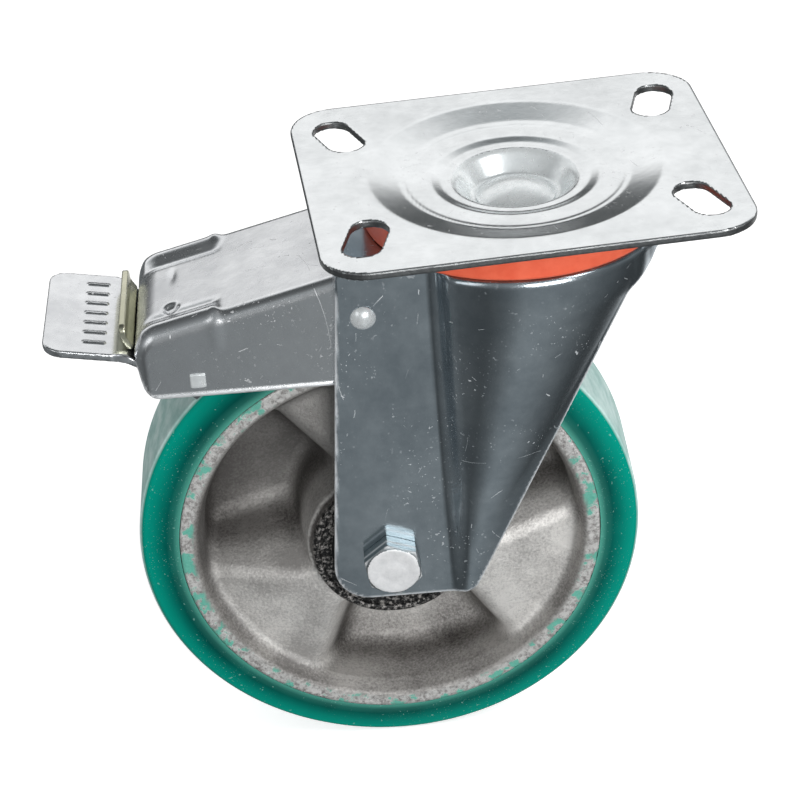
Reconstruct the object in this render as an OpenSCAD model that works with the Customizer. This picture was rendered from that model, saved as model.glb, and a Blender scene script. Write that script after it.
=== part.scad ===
// Swivel castor with a top plate, a pressed fork, a polyurethane wheel and a foot brake.
// The origin is the centre of the plate's upper face. X runs along the plate's long side,
// towards the front of the fork, and Z points up, so that the wheel hangs below.

/* [Top plate] */
// Length of the plate along X
plate_length = 100; // [96:1:130]
// Width of the plate along Y
plate_width = 85; // [82:1:110]
// Thickness of the plate's sheet
plate_thickness = 2; // [1.5:0.25:3]
// Radius of the plate's corners
plate_corner = 11; // [6:1:14]
// Width of the four bolt slots
slot_width = 9; // [7:0.5:10]
// Distance of the outer slot ends from the plate's short edges
slot_end_inset = 10; // [9:0.5:11]
// Distance of the outer slot ends from the plate's long edges
slot_side_inset = 12.5; // [11.5:0.5:14.5]
// Length of a slot along X between the centres of its ends
slot_run_x = 2.5; // [1.5:0.5:4]
// Length of a slot along Y between the centres of its ends
slot_run_y = 7.5; // [4:0.5:8]
// Radius where the pressed dish begins
dish_radius = 34.5; // [33:0.5:34.9]
// Radius of the dish floor
dish_floor_radius = 29.5; // [28.5:0.5:31]
// Depth of the dish floor
dish_depth = 2; // [1.5:0.1:2.5]
// Radius of the small inner step
step_radius = 17.5; // [16.5:0.5:19]
// Depth of the small inner step
step_depth = 0.7; // [0.4:0.1:1]
// Radius of the centre cup at its rim
cup_rim_radius = 14.3; // [13:0.1:15.5]
// Radius of the centre cup at its floor
cup_floor_radius = 10.8; // [10:0.1:11.5]
// Depth of the centre cup below the plate
cup_depth = 7.5; // [6:0.1:7.8]

/* [Swivel head] */
// Angle of the fork about the swivel axis in the modelled rest position
swivel_angle = -4.7; // [-180:0.1:180]
// Drop from the plate's upper face to the top of the fork
head_drop = 10.5; // [10.2:0.1:12]
// Outer radius of the round head of the fork
head_radius = 36; // [35.5:0.1:36.4]
// Radius of the rounded shoulder of the head
shoulder_radius = 2.8; // [2.6:0.1:3.2]
// Radius of the pivot pin's shoulder
pin_radius = 6; // [5.5:0.1:6.5]
// Radius of the riveted ends of the pivot pin
pin_shank_radius = 5; // [4:0.1:5.2]
// Radius of the pivot pin's domed head
pin_head_radius = 9.5; // [8:0.1:10]
// Height of the pivot pin's domed head
pin_head_height = 3.4; // [2.5:0.1:4]
// Radius of the circle of upper balls
upper_pitch_radius = 24.5; // [23:0.5:25.5]
// Number of upper balls
upper_balls_count = 20; // [12:1:20]
// Diameter of the lower balls
lower_ball_diameter = 5; // [4:0.25:5.5]
// Radius of the circle of lower balls
lower_pitch_radius = 13; // [12.5:0.5:14]
// Number of lower balls
lower_balls_count = 14; // [8:1:14]
// Outer radius of the lower race
lower_race_radius = 18.5; // [18:0.5:20]
// Thickness of the lower race
lower_race_thickness = 3; // [2:0.25:4]
// Outer radius of the seal ring
seal_radius = 36.7; // [36.5:0.1:38]
// Wall of the seal ring
seal_wall = 1.6; // [1.2:0.1:1.7]

/* [Fork] */
// Thickness of the fork's sheet
fork_thickness = 2.5; // [2:0.1:3]
// Gap between each end of the hub and the fork's leg
hub_gap = 2; // [1.5:0.1:3]
// Distance of the axle behind the swivel axis
axle_trail = 36; // [34:0.5:38]
// Distance of the axle below the plate's upper face
axle_drop = 93.5; // [92:0.5:98]
// Radius of the bend between the web and the flat legs
fork_bend = 4; // [3:0.25:5]
// Distance of the rear edge behind the swivel axis, at the top
rear_edge = 44; // [43:0.5:45]
// Distance of the foot's rear edge behind the axle
foot_rear = 15.2; // [13:0.1:16]
// Distance of the foot's front corner in front of the axle
foot_front = 20; // [18:0.5:21]
// Distance of the foot's lower edge below the axle
foot_below = 11.5; // [10:0.5:13]
// Radius of the foot's rear corner
foot_rear_corner = 9; // [6:0.5:10]
// Radius of the foot's front corner
foot_front_corner = 5; // [3:0.5:6]
// Distance of the front edge's knee in front of the swivel axis
knee_front = 6.3; // [4:0.1:8]
// Drop of the front edge's knee below the plate
knee_drop = 58.3; // [54:0.1:62]
// Distance of the front edge's upper end in front of the swivel axis
flank_front = 23.4; // [22:0.1:25]
// Drop of the front edge's upper end below the plate
flank_drop = 21.5; // [20.5:0.1:23]
// Distance of the flat leg's fold behind the swivel axis
fold_back = 21; // [19:0.5:23]

/* [Wheel] */
// Diameter of the wheel over the tread
wheel_diameter = 125; // [122:1:125]
// Width of the tread between its edges
tread_width = 27; // [24:0.5:29]
// Width of the wheel across the rim
rim_width = 31; // [30:0.5:33]
// Thickness of the tyre between the rim and the tread
tyre_thickness = 9.9; // [8:0.1:12]
// Width of the rim's flat edge
rim_edge = 4.1; // [3.5:0.1:4.5]
// Radius of the hub boss at its end
hub_radius = 19.5; // [19:0.1:20.5]
// Width of the hub over its ends
hub_width = 38; // [36:0.5:39]
// Angle of the first raised lobe of the web
web_angle = 96.4; // [0:0.2:120]
// Diameter of each bearing
bearing_diameter = 35; // [34:0.5:35]
// Width of each bearing
bearing_width = 11; // [10:0.5:12]
// Bore of each bearing
bearing_bore = 15; // [14:0.5:16]
// Number of balls in each bearing
bearing_balls_count = 8; // [6:1:9]
// Thread diameter of the axle bolt
bolt_diameter = 8; // [7:0.5:8]
// Width across the flats of the bolt head and of the nut
bolt_flats = 13; // [12:0.5:14]
// Height of the bolt head
bolt_head_height = 5.3; // [4.5:0.1:6]
// Turn of the bolt head about the axle
bolt_turn = -21; // [-60:1:60]

/* [Brake] */
// Thickness of the brake housing's sheet
housing_thickness = 2; // [1.5:0.1:2.2]
// Gap between the brake housing and each leg
housing_gap = 0.3; // [0.2:0.05:0.4]
// Distance of the housing's rear corner behind the swivel axis
housing_rear = 92.9; // [92:0.1:94]
// Drop of the housing's top at its front end
housing_front_drop = 15.6; // [15.4:0.1:16]
// Distance of the housing's front end behind the swivel axis
housing_front = 46; // [45.5:0.1:48]
// Slope of the housing's top in degrees
housing_slope = 14.2; // [13.5:0.1:14.8]
// Drop of the housing's lower edge below the plate
housing_drop = 43.5; // [42.5:0.1:45]
// Distance of the housing rivet behind the swivel axis
rivet_back = 38.5; // [38:0.1:39]
// Drop of the housing rivet below the plate
rivet_drop = 24.1; // [23.9:0.1:24.4]
// Radius of the housing rivet
rivet_radius = 2; // [1.5:0.1:2.5]
// Radius of the rivet's domed heads
rivet_head_radius = 3.2; // [3:0.1:4.5]
// Distance of the pedal's hinge behind the swivel axis
hinge_back = 78.5; // [78:0.1:79]
// Drop of the pedal's hinge below the plate
hinge_drop = 39.2; // [38.8:0.1:39.4]
// Radius of the pedal's hinge pin
hinge_radius = 2.5; // [2:0.1:2.8]
// Radius of the cam's round part
cam_radius = 5; // [4.8:0.05:5.1]
// Distance from the hinge to the cam's flat
cam_flat = 3.6; // [3.4:0.05:3.7]
// Thickness of the pedal's sheet
pedal_thickness = 2; // [1.5:0.1:2.2]
// Width of the pedal's tab
tab_width = 38; // [34:0.5:40]
// Distance of the tab's end behind the swivel axis
tab_rear = 114.4; // [110:0.1:120]
// Drop of the tab's free end below the plate
tab_drop = 28.4; // [28:0.1:29]
// Slope of the tab, down towards the housing, in degrees
tab_slope = 10.2; // [9:0.1:11]
// Number of raised grip ribs on the tab
rib_count = 8; // [0:1:9]
// Gap between the brake spring and the tread
spring_gap = 1.4; // [1.3:0.05:1.6]
// Thickness of the brake spring
spring_thickness = 1.2; // [1:0.05:1.3]
// Gap between each side of the brake spring and the housing's wall
spring_side_gap = 1.7; // [1:0.1:3]
// Angle at the axle where the brake spring ends
spring_end_angle = 133; // [131:0.5:136]

/* [Hidden] */
$fn = 96;
// Overrun of every cut past the face that it opens
cut = 1;
// Centre of a slot's inner end, tied to the plate's edges
slot_inner_x = plate_length / 2 - slot_end_inset - slot_run_x;
slot_inner_y = plate_width / 2 - slot_side_inset - slot_run_y;
// How far a slot's straight sides stand inside its round ends
slot_relief = 0.01;
// Clearance of pieces that are pressed, riveted or bonded together
press_clearance = 0.02;
// Radial clearance of each turning pin in its hole
turn_clearance = 0.05;
// Clearance between a ball and its race
race_clearance = 0.05;
// Clearance between faces that slide or swing past each other
slide_gap = 0.3;

// Swivel head, derived
// Straight sides of a slot, kept just inside the round ends
slot_side = slot_width / 2 - slot_relief;
dish_under = dish_depth + plate_thickness;
cup_under = cup_depth + plate_thickness;
web_under = head_drop + fork_thickness;
race_groove = 0.5;
upper_ball_diameter = head_drop - dish_under + race_groove - 2 * race_clearance;
upper_ball_drop = dish_under + race_clearance + upper_ball_diameter / 2;
lower_ball_drop = web_under + race_clearance + lower_ball_diameter / 2;
lower_groove = 0.75;
race_top_drop = lower_ball_drop + lower_ball_diameter / 2 + race_clearance - lower_groove;
race_bottom_drop = race_top_drop + lower_race_thickness;
race_lip = 1.6;
race_lip_gap = 1;
pin_end_height = 2.6;
pin_end_radius = 8;

// Fork, derived
fork_inner_width = hub_width + 2 * hub_gap;
leg_inner = fork_inner_width / 2;
leg_outer = leg_inner + fork_thickness;
head_inner = head_radius - fork_thickness;
head_band = 4.7;
head_depth = shoulder_radius + head_band;
foot_drop = axle_drop + foot_below;
foot_rear_x = -axle_trail - foot_rear;
rear_slope = atan2(-rear_edge - foot_rear_x, foot_drop - head_drop);
knee = [knee_front, -knee_drop];
flank = [flank_front, -flank_drop];
skirt_front = 29.5;
skirt_drop = 17;
skirt_tip_front = 31;
skirt_tip_drop = 14.7;
head_lip = 0.75;
lip_drop = head_drop + shoulder_radius + head_lip;
bulge_foot_radius = 4;
bulge_foot_back = 19;
bolt_clearance = 0.15;
bolt_hole_radius = bolt_diameter / 2 + bolt_clearance;

// Wheel, derived
wheel_radius = wheel_diameter / 2;
rim_radius = wheel_radius - tyre_thickness;
hub_end = hub_width / 2;
rim_inner = rim_radius - rim_edge;
rim_wall_draft = 2.6;
lobe_rim_height = 11;
lobe_hub_set = 2;
lobe_hub_height = hub_end - lobe_hub_set;
pocket_floor_rim = 3.5;
pocket_floor_hub = 8.5;
hub_draft = 4.5;
hub_step = 1.1;
rim_step = 1.6;
pocket_inset = 0.15;
pocket_half_angle = 27.4;
pocket_draft = 23.5;
tread_round = 1.6;
tyre_side_step = 0.4;
bearing_radius = bearing_diameter / 2;
bore_radius = bearing_bore / 2;
bearing_recess = 0.5;
bearing_end = hub_end - bearing_recess;
bearing_start = bearing_end - bearing_width;
bearing_pitch = (bearing_radius + bore_radius) / 2;
ball_share = 0.3;
ring_gap_share = 0.24;
bearing_ball_radius = ball_share * (bearing_radius - bore_radius);
ring_gap_half = ring_gap_share * (bearing_radius - bore_radius);
cage_half = ring_gap_half / 4;
race_ring_radius = bearing_ball_radius + race_clearance;
bearing_seal_thickness = 0.8;
bearing_seal_set = 0.4;
shoulder_inside = 1.6;
collar_radius = 9.5;

// Bolt and nut, derived
hex_radius = bolt_flats / 2 / cos(30);
hex_chamfer = 0.7;
hex_face_share = 0.96;
nut_collar_share = 0.9;
washer_radius = 8;
washer_thickness = 1.6;
nut_height = 6.5;
nut_collar = 1.5;
bolt_tail = 2;
bolt_end = leg_outer + washer_thickness + nut_height + nut_collar + bolt_tail;

// Brake housing, derived
housing_outer = leg_inner - housing_gap;
housing_inner = housing_outer - housing_thickness;
housing_fold = 3;
housing_rear_round = 5.4;
housing_lip = 1;
housing_corner = 4;
housing_corner_back = 87;
housing_ear = 6;
rivet_head_height = 1.8;
sleeve_radius = 4;
pin_square = 3.8;
pin_stand = 0.4;
// How far the rear bend's circle stands over the top's plane, so that the two cross cleanly
bend_overrun = 0.05;
top_end_z = -housing_front_drop - (housing_rear - housing_rear_round - housing_front) * tan(housing_slope)
    - (housing_rear_round - bend_overrun) / cos(housing_slope);
rear_round_at = [-housing_rear + housing_rear_round, top_end_z];

// Pedal, derived
hinge = [-hinge_back, -hinge_drop];
axle = [-axle_trail, -axle_drop];
hinge_to_axle = atan2(axle[1] - hinge[1], axle[0] - hinge[0]);
spring_width = 2 * (housing_inner - spring_side_gap);
ear_width = 2;
ear_outer = spring_width / 2;
dip_back = 97;
dip_end_back = 92.6;
dip_end_drop = 34.7;
dip_end = [-dip_end_back, -dip_end_drop];
tail_end_back = 82.8;
tail_end_drop = 37.4;
tail_end = [-tail_end_back, -tail_end_drop];
tab_length = (tab_rear - dip_back) / cos(tab_slope);
tab_under = pedal_thickness / 2 * [sin(tab_slope), cos(tab_slope)];
dip_start = [-dip_back, -tab_drop - tab_length * sin(tab_slope)] - tab_under;
tab_start = dip_start + (tab_length + pedal_thickness) * [-cos(tab_slope), sin(tab_slope)];
dip_slope = atan2(dip_start[1] - dip_end[1], dip_end[0] - dip_start[0]);
tab_corner = 4.5;
rib_length = 5.8;
rib_width = 0.9;
rib_height = 0.35;
rib_pitch = 4.6;
rib_back = 102.5;
lip_half_width = 14.5;
lip_thickness = 1.6;
lip_top_back = 95.4;
lip_top_drop = 26.6;
lip_top = [-lip_top_back, -lip_top_drop];
lip_knee_back = 95.2;
lip_knee_drop = 29.6;
lip_knee = [-lip_knee_back, -lip_knee_drop];
lip_foot_back = 94;
lip_rise = (pedal_thickness + lip_thickness) / 2 + press_clearance;
lip_foot = [-lip_foot_back,
    dip_end[1] + (lip_foot_back + dip_end[0]) * tan(dip_slope) + lip_rise / cos(dip_slope)];

// Brake spring, derived
spring_inner = wheel_radius + spring_gap;
spring_outer = spring_inner + spring_thickness;
rivet_at = [-rivet_back, -rivet_drop];
eye_inner = sleeve_radius + turn_clearance;
eye_outer = eye_inner + spring_thickness;
spring_start_angle = atan2(rivet_at[1] - axle[1], rivet_at[0] - axle[0]);

// Turns what hangs on the fork to its rest angle
module swivelled() {
    rotate([0, 0, swivel_angle]) children();
}

// Draws an X-Z outline and gives it a width along Y, centred on the fork
module across(width) {
    rotate([90, 0, 0]) linear_extrude(width, center = true) children();
}

// Moves to the axle, with Z along the axle towards the near side
module at_axle() {
    swivelled() translate([-axle_trail, 0, -axle_drop]) rotate([90, 0, 0]) children();
}

// Mirrors a piece of the wheel to the far side
module far_side() {
    mirror([0, 0, 1]) children();
}

// A ring of balls about the Z axis
module ball_ring(count, pitch, radius) {
    for (i = [0:count - 1])
        rotate([0, 0, i * 360 / count]) translate([pitch, 0, 0]) sphere(radius, $fn = 24);
}

// A straight strip of sheet between two points of the X-Z plane, with round ends
module strip(from, to, thickness) {
    translate(from) rotate(atan2(to[1] - from[1], to[0] - from[0]))
        translate([0, -thickness / 2]) square([norm(to - from), thickness]);
    for (end = [from, to]) translate(end) circle(thickness / 2, $fn = 32);
}

module plate_outline() {
    half_x = plate_length / 2 - plate_corner;
    half_y = plate_width / 2 - plate_corner;
    for (sx = [-1, 1], sy = [-1, 1]) translate([sx * half_x, sy * half_y]) circle(plate_corner);
    square([plate_length, 2 * half_y], center = true);
    square([2 * half_x, plate_width], center = true);
}

module slot_outline() {
    run = [slot_run_x, slot_run_y];
    translate([slot_inner_x, slot_inner_y]) {
        circle(slot_width / 2);
        translate(run) circle(slot_width / 2);
        rotate(atan2(run[1], run[0])) translate([0, -slot_side]) square([norm(run), 2 * slot_side]);
    }
}

// Section of the whole sheet: the flat, the pressed dish, the small step and the centre cup
module sheet_section() {
    floor_drop = dish_depth + step_depth;
    reach = norm([plate_length, plate_width]) / 2 + cut;
    upper = [[reach, 0], [dish_radius, 0], [dish_floor_radius, -dish_depth],
        [step_radius + step_depth, -dish_depth], [step_radius, -floor_drop],
        [cup_rim_radius, -floor_drop], [cup_floor_radius, -cup_depth],
        [pin_shank_radius + press_clearance, -cup_depth]];
    lower = [for (i = [len(upper) - 1:-1:0]) upper[i] - [0, plate_thickness]];
    polygon(concat(upper, lower));
}

module top_plate() color("gainsboro") intersection() {
    rotate_extrude() sheet_section();
    translate([0, 0, -2 * cup_depth]) linear_extrude(2 * cup_depth + cut) difference() {
        plate_outline();
        for (mx = [0, 1], my = [0, 1]) mirror([mx, 0]) mirror([0, my]) slot_outline();
    }
}

// Pin riveted into the plate's cup, with a domed head above and an upset end below
module pivot_pin() color("silver") {
    dome_radius = (pow(pin_head_radius, 2) + pow(pin_head_height, 2)) / (2 * pin_head_height);
    intersection() {
        translate([0, 0, -cup_depth]) cylinder(r = pin_head_radius, h = pin_head_height + cut);
        translate([0, 0, -cup_depth + pin_head_height - dome_radius]) sphere(dome_radius);
    }
    translate([0, 0, -cup_under]) cylinder(r = pin_shank_radius, h = plate_thickness + cut);
    translate([0, 0, -race_top_drop]) cylinder(r = pin_radius, h = race_top_drop - cup_under);
    translate([0, 0, -race_bottom_drop - pin_end_height / 2])
        cylinder(r = pin_shank_radius, h = lower_race_thickness + pin_end_height);
    translate([0, 0, -race_bottom_drop - pin_end_height])
        cylinder(r = pin_end_radius, h = pin_end_height);
}

module upper_balls() color("lightsteelblue") {
    translate([0, 0, -upper_ball_drop])
        ball_ring(upper_balls_count, upper_pitch_radius, upper_ball_diameter / 2);
}

module lower_balls() color("lightsteelblue") {
    translate([0, 0, -lower_ball_drop])
        ball_ring(lower_balls_count, lower_pitch_radius, lower_ball_diameter / 2);
}

// Cup that carries the lower balls and is held by the pivot pin
module lower_race() color("darkgray") {
    lip_top = web_under + race_lip_gap;
    difference() {
        translate([0, 0, -race_bottom_drop])
            cylinder(r = lower_race_radius, h = race_bottom_drop - lip_top);
        translate([0, 0, -race_top_drop])
            cylinder(r = lower_race_radius - race_lip, h = race_top_drop);
        translate([0, 0, -race_bottom_drop - cut])
            cylinder(r = pin_shank_radius + press_clearance, h = race_bottom_drop);
        rotate_extrude() translate([lower_pitch_radius, -lower_ball_drop])
            circle(lower_ball_diameter / 2 + race_clearance);
    }
}

// Plastic ring that closes the ball race, clipped below the plate
module seal_ring() color("orangered") {
    height = head_drop - plate_thickness - slide_gap;
    translate([0, 0, -plate_thickness - height]) difference() {
        cylinder(r = seal_radius, h = height);
        translate([0, 0, -cut]) cylinder(r = seal_radius - seal_wall, h = height + 2 * cut);
    }
}

// Section of the flat-sided rear part of the fork, across the legs
module leg_section(half_width, top, bend) {
    translate([-half_width, -foot_drop - cut]) square([2 * half_width, foot_drop + cut - top - bend]);
    translate([-half_width + bend, -top - bend]) square([2 * (half_width - bend), bend]);
    for (side = [-1, 1]) translate([side * (half_width - bend), -top - bend]) circle(bend);
}

// The flat-sided part as a solid that runs along X
module leg_block(half_width, top, bend, front) {
    translate([front, 0, 0]) rotate([90, 0, -90])
        linear_extrude(front + rear_edge + foot_rear + axle_trail) leg_section(half_width, top, bend);
}

// The round head and the two bulged flanks that taper down to the feet
module head_block(radius, top, round, foot_radius, back) {
    intersection() {
        union() {
            rotate_extrude() {
                square([radius - round, head_depth]);
                translate([0, -head_drop - head_depth]) square([radius, head_depth - round + head_drop - top]);
                translate([0, -top - round]) square([radius - round, round]);
                translate([radius - round, -top - round]) intersection() {
                    circle(round);
                    square(round);
                }
            }
            for (side = [-1, 1]) hull() {
                translate([0, 0, -head_drop - head_depth]) cylinder(r = radius, h = fork_thickness / 2, $fn = 64);
                translate([-bulge_foot_back, side * (leg_outer - bulge_foot_radius), -foot_drop])
                    cylinder(r = foot_radius, h = fork_thickness / 2, $fn = 32);
            }
        }
        translate([-back, -2 * head_radius, -2 * foot_drop])
            cube([4 * head_radius, 4 * head_radius, 2 * foot_drop - top]);
    }
}

// Side view of the fork: its rear edge, round-cornered foot, slanted front edge and front skirt
module fork_outline() {
    rear_centre_z = -foot_drop + foot_rear_corner;
    rear_centre_x = -rear_edge - (-rear_centre_z - head_drop) * tan(rear_slope)
        + foot_rear_corner / cos(rear_slope);
    rear_centre = [rear_centre_x, rear_centre_z];
    front_end = [-axle_trail + foot_front, -foot_drop];
    front_dir = (knee - front_end) / norm(knee - front_end);
    front_out = [front_dir[1], -front_dir[0]];
    front_centre_x = front_end[0] + (foot_front_corner * front_dir[0] - foot_front_corner) / front_dir[1];
    front_centre = [front_centre_x, -foot_drop + foot_front_corner];
    polygon([[-rear_edge, -head_drop + cut], [-rear_edge, -head_drop],
        rear_centre + foot_rear_corner * [-cos(rear_slope), -sin(rear_slope)],
        [rear_centre[0], -foot_drop], [front_centre[0], -foot_drop],
        front_centre + foot_front_corner * front_out, knee, flank,
        [skirt_front, -skirt_drop], [skirt_tip_front, -skirt_tip_drop],
        [head_radius + cut, -lip_drop], [head_radius + cut, -head_drop + cut]]);
    translate(rear_centre) circle(foot_rear_corner);
    translate(front_centre) circle(foot_front_corner);
}

module fork() color("lightslategray") swivelled() {
    difference() {
        intersection() {
            union() {
                leg_block(leg_outer, head_drop, fork_bend, flank_front + fork_thickness);
                head_block(head_radius, head_drop, shoulder_radius, bulge_foot_radius, fold_back);
            }
            across(4 * head_radius) fork_outline();
        }
        leg_block(leg_inner, web_under, fork_bend - fork_thickness, flank_front);
        head_block(head_inner, web_under, shoulder_radius - fork_thickness,
            bulge_foot_radius - fork_thickness, fold_back - fork_thickness);
        translate([0, 0, -web_under - cut])
            cylinder(r = pin_radius + turn_clearance, h = fork_thickness + 2 * cut);
        rotate_extrude() translate([upper_pitch_radius, -upper_ball_drop])
            circle(upper_ball_diameter / 2 + race_clearance);
        translate([-axle_trail, 0, -axle_drop]) rotate([90, 0, 0])
            cylinder(r = bolt_hole_radius, h = 4 * leg_outer, center = true);
        translate([-rivet_back, 0, -rivet_drop]) rotate([90, 0, 0])
            cylinder(r = rivet_radius + press_clearance, h = 4 * leg_outer, center = true);
    }
}

// Side view of the brake housing, with the ear for its rivet; the channel cuts its top
module housing_outline() {
    corner_at = [-housing_corner_back, -housing_drop + housing_corner];
    polygon([[-rear_edge, 0], rear_round_at + [0, housing_rear], rear_round_at,
        [-housing_rear, rear_round_at[1]], [-housing_rear, rear_round_at[1] - housing_lip],
        corner_at + [-housing_corner, 0], [corner_at[0], -housing_drop],
        [-rivet_back, -housing_drop], [-rivet_back + housing_ear, -rivet_drop],
        [-rivet_back, -rivet_drop + housing_ear], [-rear_edge, -rivet_drop + housing_ear]]);
    translate(rear_round_at) circle(housing_rear_round);
    translate(corner_at) circle(housing_corner);
    translate(rivet_at) circle(housing_ear);
}

// Channel section along the sloping top, with rounded folds
module housing_channel(half_width, drop, fold) {
    length = housing_rear;
    translate([-housing_front, 0, -housing_front_drop]) rotate([0, -housing_slope, 0])
        translate([length / 2, 0, -drop]) rotate([90, 0, -90]) linear_extrude(2 * length) {
            translate([-half_width, -length]) square([2 * half_width, length - fold]);
            translate([-half_width + fold, -fold - cut]) square([2 * (half_width - fold), fold + cut]);
            for (side = [-1, 1]) translate([side * (half_width - fold), -fold]) circle(fold);
        }
}

// What lies inside the housing's walls and under its top, and the mouth under its rear lip
module housing_hollow() {
    inner_round = housing_rear_round - housing_thickness;
    reach = 2 * housing_rear;
    intersection() {
        housing_channel(housing_inner, housing_thickness, housing_fold - housing_thickness);
        across(4 * housing_outer) translate(rear_round_at) {
            circle(inner_round);
            translate([-inner_round, -reach]) square([reach, reach]);
            translate([0, -reach]) square([reach, 2 * reach]);
            translate([-reach, -housing_lip - reach]) square([reach + inner_round, reach]);
        }
    }
}

module brake_housing() color("silver") swivelled() {
    difference() {
        intersection() {
            across(4 * housing_outer) housing_outline();
            housing_channel(housing_outer, 0, housing_fold);
        }
        housing_hollow();
        across(4 * housing_outer) translate(rivet_at) circle(rivet_radius + press_clearance);
        across(4 * housing_outer) translate(hinge) square(pin_square + 2 * press_clearance, center = true);
    }
}

// One rivet through both legs, the housing and the sleeve, with a dome at each end
module housing_rivet() color("gainsboro") swivelled() {
    dome_radius = (pow(rivet_head_radius, 2) + pow(rivet_head_height, 2)) / (2 * rivet_head_height);
    translate([-rivet_back, 0, -rivet_drop]) rotate([90, 0, 0]) {
        cylinder(r = rivet_radius, h = 2 * leg_outer, center = true);
        for (side = [0, 1]) mirror([0, 0, side]) intersection() {
            translate([0, 0, leg_outer]) cylinder(r = rivet_head_radius, h = rivet_head_height + cut);
            translate([0, 0, leg_outer + rivet_head_height - dome_radius]) sphere(dome_radius);
        }
    }
}

module rivet_sleeve() color("darkgray") swivelled() {
    across(2 * housing_inner) translate(rivet_at) difference() {
        circle(sleeve_radius);
        circle(rivet_radius + press_clearance);
    }
}

// Hinge pin of the pedal, round inside and staked into square holes at its ends
module hinge_pin() color("silver") swivelled() {
    end_from = housing_inner - slide_gap;
    end_length = housing_outer + pin_stand - end_from;
    across(2 * housing_inner) translate(hinge) circle(hinge_radius);
    for (side = [-1, 1]) translate([0, side * (end_from + end_length / 2), 0])
        across(end_length) translate(hinge) square(pin_square, center = true);
}

// Cam ear on the hinge: a round disc with a flat that faces the spring when the brake is off
module cam_outline() {
    translate(hinge) difference() {
        union() {
            circle(cam_radius);
            translate([-cam_radius, 0]) square([cam_radius, tail_end[1] - hinge[1] + pedal_thickness / 2]);
        }
        rotate(hinge_to_axle) translate([cam_flat, -2 * cam_radius]) square([cam_radius, 4 * cam_radius]);
        circle(hinge_radius + turn_clearance);
    }
}

// Seen from above: the round-cornered tab and the narrower tail
module pedal_plan() {
    corner_y = tab_width / 2 - tab_corner;
    translate([-tab_rear, -corner_y]) square([tab_rear - dip_back, 2 * corner_y]);
    translate([-tab_rear + tab_corner, -tab_width / 2]) square([tab_rear - dip_back - tab_corner, tab_width]);
    for (side = [-1, 1]) translate([-tab_rear + tab_corner, side * corner_y]) circle(tab_corner);
    translate([-dip_back - cut, -ear_outer]) square([dip_back, 2 * ear_outer]);
}

// Foot pedal: the tab, its dip under the housing, and an ear with a cam at each side
module brake_pedal() color("gainsboro") swivelled() {
    ear_middle = ear_outer - ear_width / 2;
    intersection() {
        across(tab_width) {
            strip(tab_start, dip_start, pedal_thickness);
            strip(dip_start, dip_end, pedal_thickness);
            strip(dip_end, tail_end, pedal_thickness);
        }
        translate([0, 0, -2 * hinge_drop]) linear_extrude(2 * hinge_drop) pedal_plan();
    }
    for (side = [-1, 1]) translate([0, side * ear_middle, 0]) across(ear_width) cam_outline();
    translate([-tab_rear, 0, -tab_drop]) rotate([0, tab_slope, 0]) for (i = [0:1:rib_count - 1])
        translate([tab_rear - rib_back, (i - (rib_count - 1) / 2) * rib_pitch, 0])
            cube([rib_length, rib_width, 2 * rib_height], center = true);
}

// Turned-up lip on the pedal that a foot pushes to let the brake off
module release_lip() color("darkkhaki") swivelled() {
    across(2 * lip_half_width) {
        strip(lip_top, lip_knee, lip_thickness);
        strip(lip_knee, lip_foot, lip_thickness);
    }
}

// Arched leaf that the cams press on to the tread, with an eye about the rivet sleeve
module brake_spring() color("dimgray") swivelled() {
    across(spring_width) {
        translate(rivet_at) difference() {
            circle(eye_outer);
            circle(eye_inner);
        }
        translate(axle) intersection() {
            difference() {
                circle(spring_outer, $fn = 180);
                circle(spring_inner, $fn = 180);
            }
            polygon([[0, 0], 2 * spring_outer * [cos(spring_start_angle), sin(spring_start_angle)],
                2 * spring_outer * [cos(spring_end_angle), sin(spring_end_angle)]]);
        }
    }
}

// Hexagon with its outer edge chamfered
module hex_prism(height, turn) {
    intersection() {
        rotate([0, 0, turn]) cylinder(r = hex_radius, h = height, $fn = 6);
        union() {
            cylinder(r = hex_radius, h = height - hex_chamfer);
            translate([0, 0, height - hex_chamfer])
                cylinder(r1 = hex_radius, r2 = hex_face_share * bolt_flats / 2, h = hex_chamfer);
        }
    }
}

module axle_bolt() color("gainsboro") at_axle() {
    translate([0, 0, leg_outer]) hex_prism(bolt_head_height, bolt_turn);
    translate([0, 0, -bolt_end]) cylinder(r = bolt_diameter / 2, h = bolt_end + leg_outer + cut);
}

module nut_washer() color("silver") at_axle() far_side() {
    translate([0, 0, leg_outer]) difference() {
        cylinder(r = washer_radius, h = washer_thickness);
        translate([0, 0, -cut]) cylinder(r = bolt_hole_radius, h = washer_thickness + 2 * cut);
    }
}

// Lock nut with a round collar that holds its insert
module axle_nut() color("gainsboro") at_axle() far_side() {
    translate([0, 0, leg_outer + washer_thickness]) difference() {
        union() {
            hex_prism(nut_height, bolt_turn);
            cylinder(r = nut_collar_share * bolt_flats / 2, h = nut_height + nut_collar);
        }
        translate([0, 0, -cut]) cylinder(r = bolt_diameter / 2 + press_clearance, h = 2 * nut_height);
    }
}

module axle_tube() color("darkgray") at_axle() {
    difference() {
        cylinder(r = bore_radius - press_clearance, h = fork_inner_width, center = true);
        cylinder(r = bolt_hole_radius, h = 2 * fork_inner_width, center = true);
    }
}

module sleeve(from, to, inner, outer) {
    translate([0, 0, from]) difference() {
        cylinder(r = outer, h = to - from);
        translate([0, 0, -cut]) cylinder(r = inner, h = to - from + 2 * cut);
    }
}

module bearing_spacer() color("darkgray") at_axle()
    sleeve(-bearing_start, bearing_start, bore_radius, collar_radius);

module near_collar() color("silver") at_axle()
    sleeve(bearing_end, leg_inner, bore_radius, collar_radius);

module far_collar() color("silver") at_axle() far_side()
    sleeve(bearing_end, leg_inner, bore_radius, collar_radius);

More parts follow.
